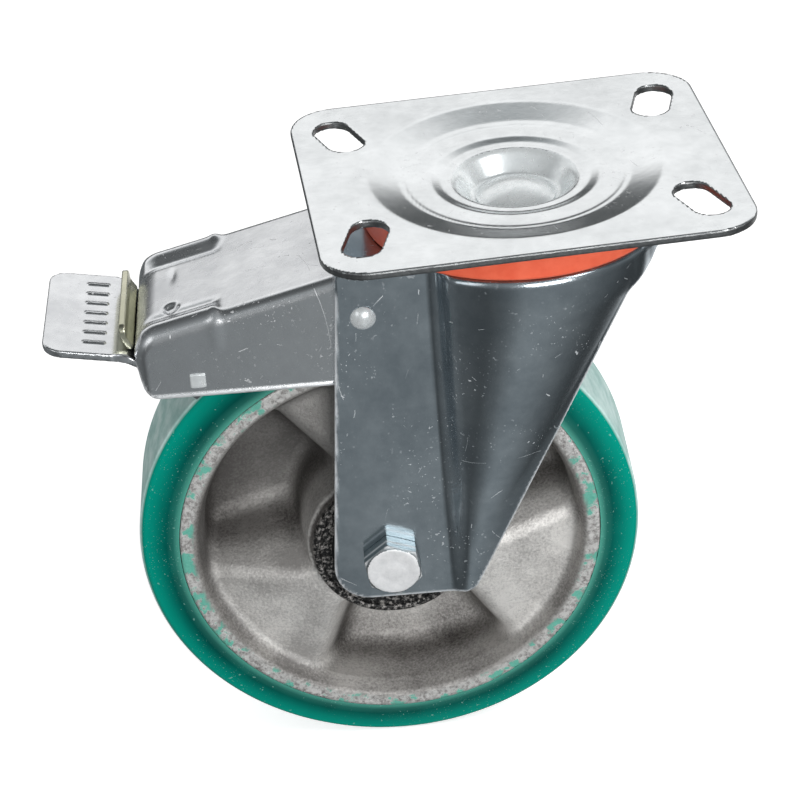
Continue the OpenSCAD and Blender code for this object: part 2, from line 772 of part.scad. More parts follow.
// The wheel centre's section: hub, sloping web faces and rim
module wheel_section() {
    upper = [[0, hub_end], [hub_radius, hub_end], [hub_radius + hub_step, lobe_hub_height],
        [rim_inner - rim_step, lobe_rim_height], [rim_inner, rim_width / 2], [rim_radius, rim_width / 2]];
    lower = [for (i = [len(upper) - 1:-1:0]) [upper[i][0], -upper[i][1]]];
    polygon(concat(upper, lower));
}

// Section of the space that one pocket clears, down to its sloping floor
module pocket_section() {
    polygon([[hub_radius + hub_step + pocket_inset, hub_end], [hub_radius + hub_draft, -pocket_floor_hub],
        [rim_inner - rim_wall_draft, -pocket_floor_rim], [rim_inner - rim_step - pocket_inset, hub_end]]);
}

// Half-space on the pocket's side of one of its two slanted flanks
module pocket_flank(side) {
    reach = 2 * rim_radius;
    mirror([0, side, 0]) rotate([0, 0, pocket_half_angle]) rotate([-pocket_draft, 0, 0])
        translate([-reach / 2, -reach, -reach / 2]) cube(reach);
}

// Cast wheel centre whose web zigzags between the two faces in six sectors
module wheel_centre() color("darkgray") at_axle() {
    difference() {
        rotate_extrude() wheel_section();
        for (i = [0:2], face = [0, 1])
            mirror([0, 0, face]) rotate([0, 0, web_angle + 60 * (1 - face) + 120 * i]) intersection() {
                rotate_extrude() pocket_section();
                pocket_flank(0);
                pocket_flank(1);
            }
        for (face = [0, 1]) mirror([0, 0, face]) translate([0, 0, bearing_start])
            cylinder(r = bearing_radius + press_clearance, h = hub_width);
        cylinder(r = bearing_radius - shoulder_inside, h = 2 * hub_width, center = true);
    }
}

// Moulded tyre with a flat tread, rounded edges and sloping sides
module tyre() color("seagreen") at_axle() {
    half = tread_width / 2;
    side_half = rim_width / 2 - tyre_side_step;
    rotate_extrude($fn = 180) {
        polygon([[rim_radius + press_clearance, -side_half], [wheel_radius - tread_round, -half],
            [wheel_radius - tread_round, half], [rim_radius + press_clearance, side_half]]);
        translate([rim_radius + press_clearance, -half + tread_round])
            square([wheel_radius - rim_radius - press_clearance, tread_width - 2 * tread_round]);
        for (side = [-1, 1]) translate([wheel_radius - tread_round, side * (half - tread_round)])
            circle(tread_round, $fn = 48);
    }
}

module outer_ring() {
    difference() {
        sleeve(bearing_start, bearing_end, bearing_pitch + ring_gap_half, bearing_radius);
        translate([0, 0, (bearing_start + bearing_end) / 2]) rotate_extrude()
            translate([bearing_pitch, 0]) circle(race_ring_radius);
    }
}

module inner_ring() {
    difference() {
        sleeve(bearing_start, bearing_end, bore_radius, bearing_pitch - ring_gap_half);
        translate([0, 0, (bearing_start + bearing_end) / 2]) rotate_extrude()
            translate([bearing_pitch, 0]) circle(race_ring_radius);
    }
}

module bearing_balls() {
    translate([0, 0, (bearing_start + bearing_end) / 2])
        ball_ring(bearing_balls_count, bearing_pitch, bearing_ball_radius);
}

// Thin ring with a round pocket for each ball
module cage() {
    half = bearing_ball_radius;
    difference() {
        translate([0, 0, (bearing_start + bearing_end) / 2]) sleeve(-half, half,
            bearing_pitch - cage_half, bearing_pitch + cage_half);
        translate([0, 0, (bearing_start + bearing_end) / 2])
            ball_ring(bearing_balls_count, bearing_pitch, race_ring_radius);
    }
}

// The two rubber seals of one bearing
module seals() {
    for (from = [bearing_start + bearing_seal_set, bearing_end - bearing_seal_set - bearing_seal_thickness])
        sleeve(from, from + bearing_seal_thickness, bearing_pitch - ring_gap_half + race_clearance,
            bearing_pitch + ring_gap_half - press_clearance);
}

module near_outer_ring() color("silver") at_axle() outer_ring();
module near_inner_ring() color("silver") at_axle() inner_ring();
module near_bearing_balls() color("lightsteelblue") at_axle() bearing_balls();
module near_cage() color("goldenrod") at_axle() cage();
module near_seals() color("black") at_axle() seals();
module far_outer_ring() color("silver") at_axle() far_side() outer_ring();
module far_inner_ring() color("silver") at_axle() far_side() inner_ring();
module far_bearing_balls() color("lightsteelblue") at_axle() far_side() bearing_balls();
module far_cage() color("goldenrod") at_axle() far_side() cage();
module far_seals() color("black") at_axle() far_side() seals();

top_plate();
pivot_pin();
upper_balls();
lower_balls();
lower_race();
seal_ring();
fork();
brake_housing();
housing_rivet();
rivet_sleeve();
hinge_pin();
brake_pedal();
release_lip();
brake_spring();
axle_bolt();
axle_nut();
nut_washer();
axle_tube();
bearing_spacer();
near_collar();
far_collar();
wheel_centre();
tyre();
near_outer_ring();
near_inner_ring();
near_bearing_balls();
near_cage();
near_seals();
far_outer_ring();
far_inner_ring();
far_bearing_balls();
far_cage();
far_seals();
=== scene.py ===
"""Looks of the swivel castor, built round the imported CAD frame.

The sheet-metal and cast pieces are made from distance functions in millimetres, in the fork's own
frame, and turned to the fork's rest angle when their meshes are written in metres.
"""
import math

import bmesh
import bpy
import numpy as np
from mathutils import Matrix, Vector


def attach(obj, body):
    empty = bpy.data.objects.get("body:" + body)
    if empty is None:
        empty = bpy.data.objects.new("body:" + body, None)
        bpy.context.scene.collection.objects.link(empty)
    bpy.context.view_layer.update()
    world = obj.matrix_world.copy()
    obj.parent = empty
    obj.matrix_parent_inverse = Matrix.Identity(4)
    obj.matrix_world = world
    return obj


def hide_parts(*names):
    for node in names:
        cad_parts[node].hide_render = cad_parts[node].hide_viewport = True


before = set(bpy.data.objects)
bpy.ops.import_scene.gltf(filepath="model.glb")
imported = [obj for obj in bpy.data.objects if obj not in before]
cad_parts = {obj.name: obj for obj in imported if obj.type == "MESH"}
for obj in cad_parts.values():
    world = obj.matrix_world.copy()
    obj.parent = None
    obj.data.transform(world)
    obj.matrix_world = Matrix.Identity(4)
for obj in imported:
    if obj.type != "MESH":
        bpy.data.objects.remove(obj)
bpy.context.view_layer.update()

MM = 0.001
PSI = math.radians(-4.7)
AXLE = (-36.0, -93.5)
HINGE = (-78.5, -39.2)
RIVET = (-38.5, -24.1)
LEG_OUT = 23.5


# ---------------------------------------------------------------- distance functions
def r_or(a, b, r):
    """Union with a fillet of radius r."""
    u = np.maximum(r - a, 0)
    v = np.maximum(r - b, 0)
    return np.maximum(r, np.minimum(a, b)) - np.sqrt(u * u + v * v)


def r_and(a, b, r):
    """Intersection with a rounded edge of radius r."""
    u = np.maximum(r + a, 0)
    v = np.maximum(r + b, 0)
    return np.minimum(-r, np.maximum(a, b)) + np.sqrt(u * u + v * v)


def step(e0, e1, x):
    t = np.clip((x - e0) / (e1 - e0), 0, 1)
    return t * t * (3 - 2 * t)


def bell(x, centre, width):
    return np.exp(-(((x - centre) / width) ** 2))


def polygon(a, b, pts):
    """Signed distance to a closed polygon in a plane."""
    d = np.full(np.broadcast(a, b).shape, 1e9, np.float32)
    s = np.ones_like(d)
    for i, (ax, ay) in enumerate(pts):
        bx, by = pts[i - 1]
        ex, ey = bx - ax, by - ay
        wx, wy = a - ax, b - ay
        t = np.clip((wx * ex + wy * ey) / (ex * ex + ey * ey), 0, 1)
        d = np.minimum(d, (wx - ex * t) ** 2 + (wy - ey * t) ** 2)
        c1, c2, c3 = b >= ay, b < by, ex * wy > ey * wx
        s = np.where((c1 & c2 & c3) | (~c1 & ~c2 & ~c3), -s, s)
    return s * np.sqrt(d)


def path(a, b, pts):
    """Distance to an open line of points in a plane."""
    d = np.full(np.broadcast(a, b).shape, 1e9, np.float32)
    for (ax, ay), (bx, by) in zip(pts, pts[1:]):
        ex, ey = bx - ax, by - ay
        wx, wy = a - ax, b - ay
        t = np.clip((wx * ex + wy * ey) / (ex * ex + ey * ey), 0, 1)
        d = np.minimum(d, (wx - ex * t) ** 2 + (wy - ey * t) ** 2)
    return np.sqrt(d)


def fillet(pts, radii, closed=True, n=7):
    """The same outline with its corners rounded."""
    out = []
    count = len(pts)
    for i in range(count):
        p, r = Vector(pts[i]), radii[i]
        if r <= 0 or (not closed and i in (0, count - 1)):
            out.append(tuple(p))
            continue
        a = (Vector(pts[i - 1]) - p).normalized()
        b = (Vector(pts[(i + 1) % count]) - p).normalized()
        half = a.angle(b) / 2
        cut = r / math.tan(half)
        centre = p + (a + b).normalized() * (r / math.sin(half))
        s, e = p + a * cut - centre, p + b * cut - centre
        a0 = math.atan2(s.y, s.x)
        turn = (math.atan2(e.y, e.x) - a0 + math.pi) % (2 * math.pi) - math.pi
        for k in range(n + 1):
            w = a0 + turn * k / n
            out.append((centre.x + r * math.cos(w), centre.y + r * math.sin(w)))
    return out


# ---------------------------------------------------------------- meshes
def to_world(p, where):
    """Millimetres in the fork's, axle's or plate's own frame to metres in the row frame."""
    p = np.asarray(p, float)
    if where == "axle":
        p = np.stack([p[:, 0] + AXLE[0], -p[:, 2], p[:, 1] + AXLE[1]], 1)
    if where != "plate":
        c, s = math.cos(PSI), math.sin(PSI)
        p = np.stack([p[:, 0] * c - p[:, 1] * s, p[:, 0] * s + p[:, 1] * c, p[:, 2]], 1)
    return p * MM


def turn(v, where):
    return to_world(v, where) / MM - to_world(np.zeros((1, 3)), where) / MM


def add_mesh(name, verts, faces, where, body, nodes, normals=None):
    me = bpy.data.meshes.new(name)
    w = to_world(verts, where)
    me.from_pydata(w.tolist(), [], faces.tolist() if hasattr(faces, "tolist") else faces)
    me.validate()
    me.polygons.foreach_set("use_smooth", [True] * len(me.polygons))
    ob = bpy.data.objects.new(name, me)
    bpy.context.scene.collection.objects.link(ob)
    if normals is not None:
        me.normals_split_custom_set_from_vertices(turn(normals, where).tolist())
    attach(ob, body)
    if nodes:
        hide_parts(*nodes)
    return ob


def net(f, lo, hi, h):
    """Surface of a distance function: vertices, quads and normals."""
    ax = [np.arange(lo[i], hi[i] + h, h, dtype=np.float32) for i in range(3)]
    v = f(ax[0][:, None, None], ax[1][None, :, None], ax[2][None, None, :])
    v = np.broadcast_to(v, tuple(len(a) for a in ax)).astype(np.float32)
    inside = v < 0
    n = [k - 1 for k in v.shape]

    def corner(arr, i, j, k):
        return arr[i:i + n[0], j:j + n[1], k:k + n[2]]

    corners = [(i, j, k) for i in (0, 1) for j in (0, 1) for k in (0, 1)]
    total = sum(corner(inside, *c).astype(np.int8) for c in corners)
    active = (total > 0) & (total < 8)
    idx = np.argwhere(active)
    ids = np.full(active.shape, -1, np.int64)
    ids[active] = np.arange(len(idx))
    acc = np.zeros((len(idx), 3))
    num = np.zeros(len(idx))
    for a in corners:
        for d in range(3):
            if a[d]:
                continue
            b = list(a)
            b[d] = 1
            va = v[idx[:, 0] + a[0], idx[:, 1] + a[1], idx[:, 2] + a[2]]
            vb = v[idx[:, 0] + b[0], idx[:, 1] + b[1], idx[:, 2] + b[2]]
            m = (va < 0) != (vb < 0)
            t = np.where(m, va / np.where(m, va - vb, 1), 0)
            for q in range(3):
                acc[:, q] += m * (a[q] + (t if q == d else 0))
            num += m
    pts = np.stack([ax[q][idx[:, q]] for q in range(3)], 1) + acc / num[:, None] * h
    quads = []
    for d in range(3):
        e, g = [q for q in range(3) if q != d]
        s0 = [slice(None)] * 3
        s1 = [slice(None)] * 3
        s0[d], s1[d] = slice(0, -1), slice(1, None)
        a_in, b_in = inside[tuple(s0)], inside[tuple(s1)]
        for flip, mask in ((False, a_in & ~b_in), (True, ~a_in & b_in)):
            p = np.argwhere(mask)
            p = p[(p[:, e] > 0) & (p[:, g] > 0) & (p[:, e] < n[e]) & (p[:, g] < n[g])]
            cells = []
            for de, dg in ((-1, -1), (0, -1), (0, 0), (-1, 0)):
                c = p.copy()
                c[:, e] += de
                c[:, g] += dg
                cells.append(ids[c[:, 0], c[:, 1], c[:, 2]])
            q = np.stack(cells, 1)
            quads.append(q[:, ::-1] if flip != (d == 1) else q)
    quads = np.concatenate(quads)

    def at(p):
        return f(p[:, 0], p[:, 1], p[:, 2])

    def grad(p, e=0.02):
        g = np.zeros_like(p)
        for q in range(3):
            o = np.zeros(3)
            o[q] = e
            g[:, q] = (at(p + o) - at(p - o)) / (2 * e)
        return g

    for _ in range(3):
        g = grad(pts)
        move = -(at(pts) / np.maximum((g * g).sum(1), 0.2))[:, None] * g
        size = np.linalg.norm(move, axis=1, keepdims=True)
        pts = pts + move * np.minimum(1, 0.5 * h / np.maximum(size, 1e-9))
    g = grad(pts, 0.05)
    g /= np.maximum(np.linalg.norm(g, axis=1, keepdims=True), 1e-9)
    return pts, quads, g


def solid(name, f, lo, hi, h, where, body, *nodes):
    pts, quads, normals = net(f, lo, hi, h)
    return add_mesh(name, pts, quads, where, body, nodes, normals)


def lathe(name, profile, where, body, nodes, sharp=35, count=200):
    """A closed profile of (radius, height) points turned about the local Z axis."""
    pts = np.array(profile, float)
    ang = np.arange(count) * 2 * math.pi / count
    r = pts[:, 0][:, None]
    verts = np.stack([r * np.cos(ang), r * np.sin(ang),
                      np.repeat(pts[:, 1][:, None], count, 1)], 2).reshape(-1, 3)
    after = np.roll(pts, -1, axis=0)
    counter_clockwise = (pts[:, 0] * after[:, 1] - after[:, 0] * pts[:, 1]).sum() > 0
    faces = []
    for i in range(len(pts)):
        j = (i + 1) % len(pts)
        if pts[i][0] < 1e-6 and pts[j][0] < 1e-6:
            continue
        for k in range(count):
            k1 = (k + 1) % count
            q = [i * count + k, i * count + k1, j * count + k1, j * count + k]
            faces.append(q if counter_clockwise else q[::-1])
    ob = add_mesh(name, verts, faces, where, body, nodes)
    me = ob.data
    bm = bmesh.new()
    bm.from_mesh(me)
    bmesh.ops.remove_doubles(bm, verts=bm.verts, dist=1e-7)
    bmesh.ops.dissolve_degenerate(bm, dist=1e-8, edges=bm.edges)
    for e in bm.edges:
        e.smooth = not (len(e.link_faces) == 2 and e.calc_face_angle(0) > math.radians(sharp))
    bm.to_mesh(me)
    bm.free()
    return ob


# ---------------------------------------------------------------- camera
AZ, EL, ROLL = math.radians(-5.575), math.radians(32.259), math.radians(-4.212)
DIST, FOCAL_PX, TARGET = 636.649, 2578.632, (-31.082, 0.0, -60.656)
back = Vector((math.sin(AZ) * math.cos(EL), -math.cos(AZ) * math.cos(EL), math.sin(EL)))
right = Vector((math.cos(AZ), math.sin(AZ), 0))
up = back.cross(right)
cam_x = right * math.cos(ROLL) + up * math.sin(ROLL)
cam_y = up * math.cos(ROLL) - right * math.sin(ROLL)
cam = bpy.data.objects.new("camera", bpy.data.cameras.new("camera"))
bpy.context.scene.collection.objects.link(cam)
rot = Matrix((cam_x, cam_y, back)).transposed().to_4x4()
cam.matrix_world = Matrix.Translation((Vector(TARGET) + back * DIST) * MM) @ rot
cam.data.sensor_width = 36
cam.data.lens = FOCAL_PX * 36 / 800
cam.data.clip_start = 0.01
cam.data.clip_end = 20
bpy.context.scene.camera = cam


# ---------------------------------------------------------------- materials
class Nodes:
    """Short calls for a node tree."""

    def __init__(self, name, world=False):
        self.mat = bpy.data.worlds.new(name) if world else bpy.data.materials.new(name)
        self.mat.use_nodes = True
        self.t = self.mat.node_tree
        self.t.nodes.clear()

    def new(self, kind, ins=None, **props):
        n = self.t.nodes.new(kind)
        for k, v in props.items():
            setattr(n, k, v)
        for k, v in (ins or {}).items():
            s = n.inputs[k]
            if isinstance(v, bpy.types.NodeSocket):
                self.t.links.new(v, s)
            else:
                s.default_value = v
        return n

    def math(self, op, a, b=0.0, clamp=False):
        n = self.new("ShaderNodeMath", {0: a, 1: b}, operation=op)
        n.use_clamp = clamp
        return n.outputs[0]

    def coords(self):
        return self.new("ShaderNodeTexCoord").outputs["Object"]

    def noise(self, vec, scale, detail=2.0, rough=0.5, stretch=None):
        if stretch:
            vec = self.new("ShaderNodeMapping", {"Vector": vec, "Scale": stretch}).outputs[0]
        return self.new("ShaderNodeTexNoise", {"Vector": vec, "Scale": scale, "Detail": detail,
                                               "Roughness": rough}).outputs["Fac"]

    def band(self, x, lo, hi, out0=0.0, out1=1.0):
        return self.new("ShaderNodeMapRange", {"Value": x, "From Min": lo, "From Max": hi,
                                               "To Min": out0, "To Max": out1}).outputs[0]

    def mix(self, fac, a, b):
        n = self.new("ShaderNodeMix", data_type="RGBA")
        for s, v in ((n.inputs[0], fac), (n.inputs[6], a), (n.inputs[7], b)):
            if isinstance(v, bpy.types.NodeSocket):
                self.t.links.new(v, s)
            else:
                s.default_value = (*v, 1) if hasattr(v, "__len__") and len(v) == 3 else v
        return n.outputs[2]

    def attr(self, name):
        return self.new("ShaderNodeAttribute", attribute_name=name).outputs["Fac"]

    def bump(self, height, strength, dist):
        ins = {"Height": height, "Strength": strength, "Distance": dist}
        return self.new("ShaderNodeBump", ins).outputs[0]

    def scratches(self, vec, scale, width, seed, keep=0.62):
        """Short thin lines: level lines of a slow noise, broken up by a second one."""
        moved = self.new("ShaderNodeMapping", {"Vector": vec, "Location": (seed, -seed, 2 * seed),
                                               "Rotation": (seed, 2 * seed, 3 * seed)}).outputs[0]
        n = self.noise(moved, scale, 0.0)
        line = self.math("LESS_THAN", self.math("ABSOLUTE", self.math("SUBTRACT", n, 0.5)), width)
        mask = self.math("GREATER_THAN", self.noise(moved, scale * 7, 1.0), keep)
        return self.math("MULTIPLY", line, mask)

    def surface(self, **ins):
        sh = self.new("ShaderNodeBsdfPrincipled", {k.replace("_", " "): v for k, v in ins.items()})
        out = self.new("ShaderNodeOutputMaterial")
        self.t.links.new(sh.outputs[0], out.inputs[0])
        return self.mat


def zinc(name, light, dark, rough, scratch=1.0):
    """Zinc plate: clouds, scratches and specks; 'worn' marks edges that are painted bright, a painted
    highlight along them.
    """
    k = Nodes(name)
    p = k.coords()
    cloud = k.noise(p, 45, 4, 0.6)
    spangle = k.noise(p, 260, 3, 0.6)
    fine = k.noise(p, 2600, 2, 0.6)
    lines = k.math("MAXIMUM", k.scratches(p, 14, 0.0008, 0.31, 0.60),
                   k.scratches(p, 22, 0.0010, 1.7, 0.61))
    lines = k.math("MAXIMUM", lines, k.scratches(p, 48, 0.0017, 2.9, 0.60))
    specks = k.math("MAXIMUM", k.band(k.noise(p, 900, 1, 0.5), 0.70, 0.73),
                    k.band(k.noise(p, 1700, 1, 0.5), 0.71, 0.74))
    specks = k.math("MULTIPLY", specks, k.band(k.noise(p, 55, 2, 0.5), 0.42, 0.58))
    # painted highlight: the attribute's edges are coloured near white and made less metallic
    wear_and_painted_highlight = k.math("MULTIPLY", k.attr("wear_and_painted_highlight"), k.band(k.noise(p, 500, 3, 0.6), 0.30, 0.48, 0.55, 1.0))
    fleck = k.band(k.noise(p, 120, 2, 0.5), 0.35, 0.65, 0.15, 0.75)
    marks = k.math("MULTIPLY", k.math("MAXIMUM", lines, specks, clamp=True), fleck)
    marks = k.math("MAXIMUM", marks, wear_and_painted_highlight)
    tone = k.math("ADD", k.math("MULTIPLY", cloud, 0.65), k.math("MULTIPLY", spangle, 0.35))
    col = k.mix(k.band(tone, 0.36, 0.64), dark, light)
    col = k.mix(k.math("MULTIPLY", marks, 0.7 * scratch), col, (0.93, 0.94, 0.95))
    rg = k.band(tone, 0.3, 0.7, rough + 0.07, rough - 0.03)
    rg = k.math("ADD", rg, k.math("MULTIPLY", marks, 0.25))
    h = k.math("ADD", k.math("MULTIPLY", spangle, 0.5), k.math("MULTIPLY", fine, 0.12))
    h = k.math("SUBTRACT", h, k.math("MULTIPLY", lines, 0.3))
    nrm = k.bump(h, 0.09, 0.0006)
    shine = k.math("SUBTRACT", 1.0, k.math("MULTIPLY", marks, 0.75 * scratch))
    return k.surface(Base_Color=col, Metallic=shine, Roughness=rg, Normal=nrm)


def plain_metal(name, light, dark, rough, grain=500, strength=0.1, metallic=1.0):
    """Metal with an even fine grain."""
    k = Nodes(name)
    p = k.coords()
    a = k.noise(p, grain, 4, 0.65)
    b = k.noise(p, grain * 0.12, 3, 0.5)
    tone = k.math("ADD", k.math("MULTIPLY", a, 0.5), k.math("MULTIPLY", b, 0.5))
    col = k.mix(k.band(tone, 0.35, 0.65), dark, light)
    rg = k.band(tone, 0.3, 0.7, rough + 0.1, rough - 0.05)
    return k.surface(Base_Color=col, Metallic=metallic, Roughness=rg, Normal=k.bump(a, strength, 0.0004))


def cast_metal(name):
    """As-cast aluminium: 'raised' is paler and the pockets are painted near black as painted shadow in
    the recesses,
    'shade' is a painted shadow over the upper left of the web, and 'lip' marks the bright rim edge.
    """
    k = Nodes(name)
    p = k.coords()
    grain = k.noise(p, 1500, 3, 0.7)
    mid = k.noise(p, 420, 3, 0.6)
    cloud = k.noise(p, 60, 3, 0.5)
    tone = k.math("ADD", k.math("MULTIPLY", grain, 0.45), k.math("MULTIPLY", cloud, 0.55))
    # painted shadow: the pocket floors are coloured near black for the darkness of the recesses
    pocket_painted_dark = k.mix(k.band(tone, 0.40, 0.60), (0.09, 0.083, 0.078), (0.33, 0.315, 0.30))
    face = k.mix(k.band(tone, 0.40, 0.60), (0.50, 0.485, 0.47), (0.90, 0.88, 0.85))
    col = k.mix(k.attr("raised"), pocket_painted_dark, face)
    # painted shadow: the upper left of the web is darkened towards near black
    col = k.mix(k.math("MULTIPLY", k.attr("painted_web_shadow"), 0.62), col, (0.05, 0.046, 0.043))
    lip = k.attr("lip")
    chip = k.band(k.noise(p, 800, 4, 0.75), 0.36, 0.54)
    rim = k.mix(chip, (0.34, 0.32, 0.31), (0.80, 0.79, 0.77))
    smear = k.band(k.noise(p, 200, 4, 0.65), 0.53, 0.58)
    rim = k.mix(k.math("MULTIPLY", smear, 0.9), rim, (0.06, 0.40, 0.30))
    col = k.mix(lip, col, rim)
    metal = k.math("SUBTRACT", 0.62, k.math("MULTIPLY", k.math("MULTIPLY", smear, lip), 0.55))
    rg = k.math("SUBTRACT", k.band(mid, 0.3, 0.7, 0.66, 0.54), k.math("MULTIPLY", lip, 0.1))
    h = k.math("ADD", k.math("MULTIPLY", grain, 0.6), k.math("MULTIPLY", mid, 0.7))
    return k.surface(Base_Color=col, Metallic=metal, Roughness=rg, Normal=k.bump(h, 0.5, 0.0006))


def polyurethane(name):
    """Green sides with tiny specks; 'tread' marks the pale scuffed running face, 'edge' the outer
    part of the side, painted paler green as painted light on the shoulder, and 'flash' the ring beside
    the rim."""
    k = Nodes(name)
    p = k.coords()
    tread = k.attr("tread")
    edge = k.attr("edge")
    cloud = k.noise(p, 70, 3, 0.5)
    dust = k.math("MULTIPLY", k.band(k.noise(p, 2300, 1, 0.5), 0.68, 0.73),
                  k.band(k.noise(p, 40, 2, 0.5), 0.40, 0.60))
    dust2 = k.band(k.noise(p, 900, 1, 0.5), 0.73, 0.75)
    side = k.mix(k.band(cloud, 0.35, 0.65), (0.000, 0.056, 0.048), (0.000, 0.100, 0.080))
    # painted light: the sidewall turns paler green towards the shoulder
    side = k.mix(edge, side, (0.000, 0.27, 0.20))
    side = k.mix(k.attr("flash"), side, (0.08, 0.33, 0.26))
    specks = k.math("MULTIPLY", k.math("MAXIMUM", dust, dust2, clamp=True), 0.35)
    side = k.mix(specks, side, (0.30, 0.60, 0.52))
    wear_and_painted_highlight = k.noise(p, 240, 4, 0.65, stretch=(1, 0.5, 1))
    face = k.mix(k.band(wear_and_painted_highlight, 0.35, 0.65), (0.38, 0.60, 0.56), (0.64, 0.81, 0.78))
    col = k.mix(tread, side, face)
    rg = k.math("ADD", k.band(cloud, 0.3, 0.7, 0.16, 0.24), k.math("MULTIPLY", tread, 0.35))
    h = k.math("ADD", k.math("MULTIPLY", k.noise(p, 160, 3, 0.5), 0.5), k.math("MULTIPLY", dust, 0.1))
    return k.surface(Base_Color=col, Roughness=rg, Specular_IOR_Level=0.12, IOR=1.5,
                     Normal=k.bump(h, 0.12, 0.0006))


def moulded(name, light, dark, rough):
    """Smooth moulded plastic or rubber."""
    k = Nodes(name)
    p = k.coords()
    n = k.noise(p, 240, 3, 0.55)
    f = k.noise(p, 1800, 2, 0.5)
    col = k.mix(k.band(n, 0.35, 0.65), dark, light)
    return k.surface(Base_Color=col, Roughness=k.band(f, 0.3, 0.7, rough + 0.05, rough - 0.05),
                     Normal=k.bump(f, 0.05, 0.0004))


def greasy(name):
    """Black grease with bare metal showing through."""
    k = Nodes(name)
    p = k.coords()
    n = k.noise(p, 900, 4, 0.75)
    col = k.mix(k.band(n, 0.50, 0.62), (0.015, 0.015, 0.015), (0.42, 0.40, 0.38))
    return k.surface(Base_Color=col, Metallic=0.4, Roughness=k.band(n, 0.3, 0.7, 0.2, 0.5),
                     Normal=k.bump(n, 0.5, 0.0006))


M_PLATE = zinc("zinc_plate_top", (0.93, 0.955, 0.965), (0.81, 0.835, 0.845), 0.17, 0.5)
# a darker, bluer copy of the same zinc: painted shading on the fork
M_FORK_PAINTED_DARK = zinc("zinc_fork_painted_dark", (0.69, 0.755, 0.80), (0.47, 0.53, 0.575), 0.17, 1.0)
M_BRAKE = zinc("zinc_brake", (0.91, 0.925, 0.94), (0.76, 0.775, 0.795), 0.24, 0.8)
M_PARTS = zinc("zinc_small", (0.82, 0.84, 0.85), (0.68, 0.70, 0.72), 0.18, 0.5)
# the bolt's hex flanks are a near-black copy of the zinc, painted shading, and its face a pale, less
# metallic copy, painted light
M_BOLT_PAINTED_DARK = zinc("zinc_bolt_painted_dark", (0.21, 0.25, 0.265), (0.15, 0.18, 0.19), 0.38, 1.0)
M_BOLT_FACE_PAINTED_LIGHT = plain_metal("bolt_face_painted_light", (0.93, 0.935, 0.94), (0.70, 0.71, 0.72), 0.5, grain=600,
                          strength=0.3, metallic=0.35)
# a pale, half-metallic copy of the zinc: painted light on the plate's cup, the pin's dome, the rivet
# heads and the pin ends
M_ZINC_PAINTED_LIGHT = plain_metal("zinc_cup_painted_light", (0.92, 0.955, 0.96), (0.78, 0.82, 0.83), 0.26, metallic=0.5)
M_YELLOW = zinc("zinc_yellow", (0.74, 0.73, 0.58), (0.58, 0.58, 0.44), 0.26, 0.4)
M_TURNED = plain_metal("turned_steel", (0.62, 0.63, 0.64), (0.50, 0.51, 0.52), 0.26)
M_SPRING = plain_metal("spring_steel", (0.30, 0.31, 0.33), (0.20, 0.21, 0.23), 0.32)
M_BEARING = plain_metal("bearing_steel", (0.78, 0.79, 0.81), (0.68, 0.69, 0.71), 0.14, strength=0.03)
M_CAGE = plain_metal("cage_steel", (0.56, 0.56, 0.54), (0.44, 0.44, 0.43), 0.3)
M_CAST = cast_metal("cast_aluminium")
M_TYRE = polyurethane("polyurethane")
M_ORANGE = moulded("orange_seal", (0.95, 0.17, 0.085), (0.88, 0.13, 0.06), 0.33)
M_RUBBER = moulded("seal_rubber", (0.035, 0.035, 0.036), (0.02, 0.02, 0.021), 0.55)
M_GREASE = greasy("greasy_hub")
M_EDGE = plain_metal("sheared_edge", (0.34, 0.35, 0.35), (0.17, 0.175, 0.18), 0.38, grain=900,
                     strength=0.35)


def put(ob, *mats):
    ob.data.materials.clear()
    for m in mats:
        ob.data.materials.append(m)


def attribute(ob, name, values):
    a = ob.data.attributes.new(name, "FLOAT", "POINT")
    a.data.foreach_set("value", np.asarray(values, np.float32))


# ---------------------------------------------------------------- fork
# outline of the fork seen from its side, and the radii of its corners
FORK_CUT = fillet(
    [(-43.2, 0), (-44.0, -10.5), (-51.2, -105), (-16.0, -105), (6.3, -58.3), (23.4, -21.5),
     (29.5, -17.0), (31.0, -14.7), (37.5, -14.0), (37.5, 0)],
    [0, 0, 9, 5, 12, 4, 3, 1.5, 0, 0])
FORK_SHEET = 2.5
EDGE_ROUND = 0.45
HOLE_ROUND = 0.3
HEAD_RADIUS, HEAD_TOP, HEAD_FOOT = 36, -10.5, -18
TAPER_HEIGHT, TAPER_SOFT, TAPER_LOSS = 87, 4.0, 32
LEG_FRONT = 25.9


def fork_lateral(x, y, z):
    """Distance to the sides: flat legs behind, a round head in front that tapers to the feet."""
    u = HEAD_FOOT - z
    w = TAPER_SOFT
    u = np.where(u < -w, 0, np.where(u > w, u, (u + w) ** 2 / (4 * w)))
    s = np.clip(u / TAPER_HEIGHT, 0, 1.1)
    rad = HEAD_RADIUS - TAPER_LOSS * s
    a = np.abs(y)
    cone = np.sqrt((x + 19 * s) ** 2 + (a - 19.5 * s) ** 2) - rad
    cone = cone * (1 - 0.05 * np.minimum(s * 12, 1))
    cone = r_and(cone, -20.2 - x, 3.4)
    legs = r_and(a - LEG_OUT, x - LEG_FRONT, 2.0)
    return r_or(legs, cone, 3.2)


def across(x, z, centre):
    """Distance from a line across the fork through centre."""
    return np.sqrt((x - centre[0]) ** 2 + (z - centre[1]) ** 2)


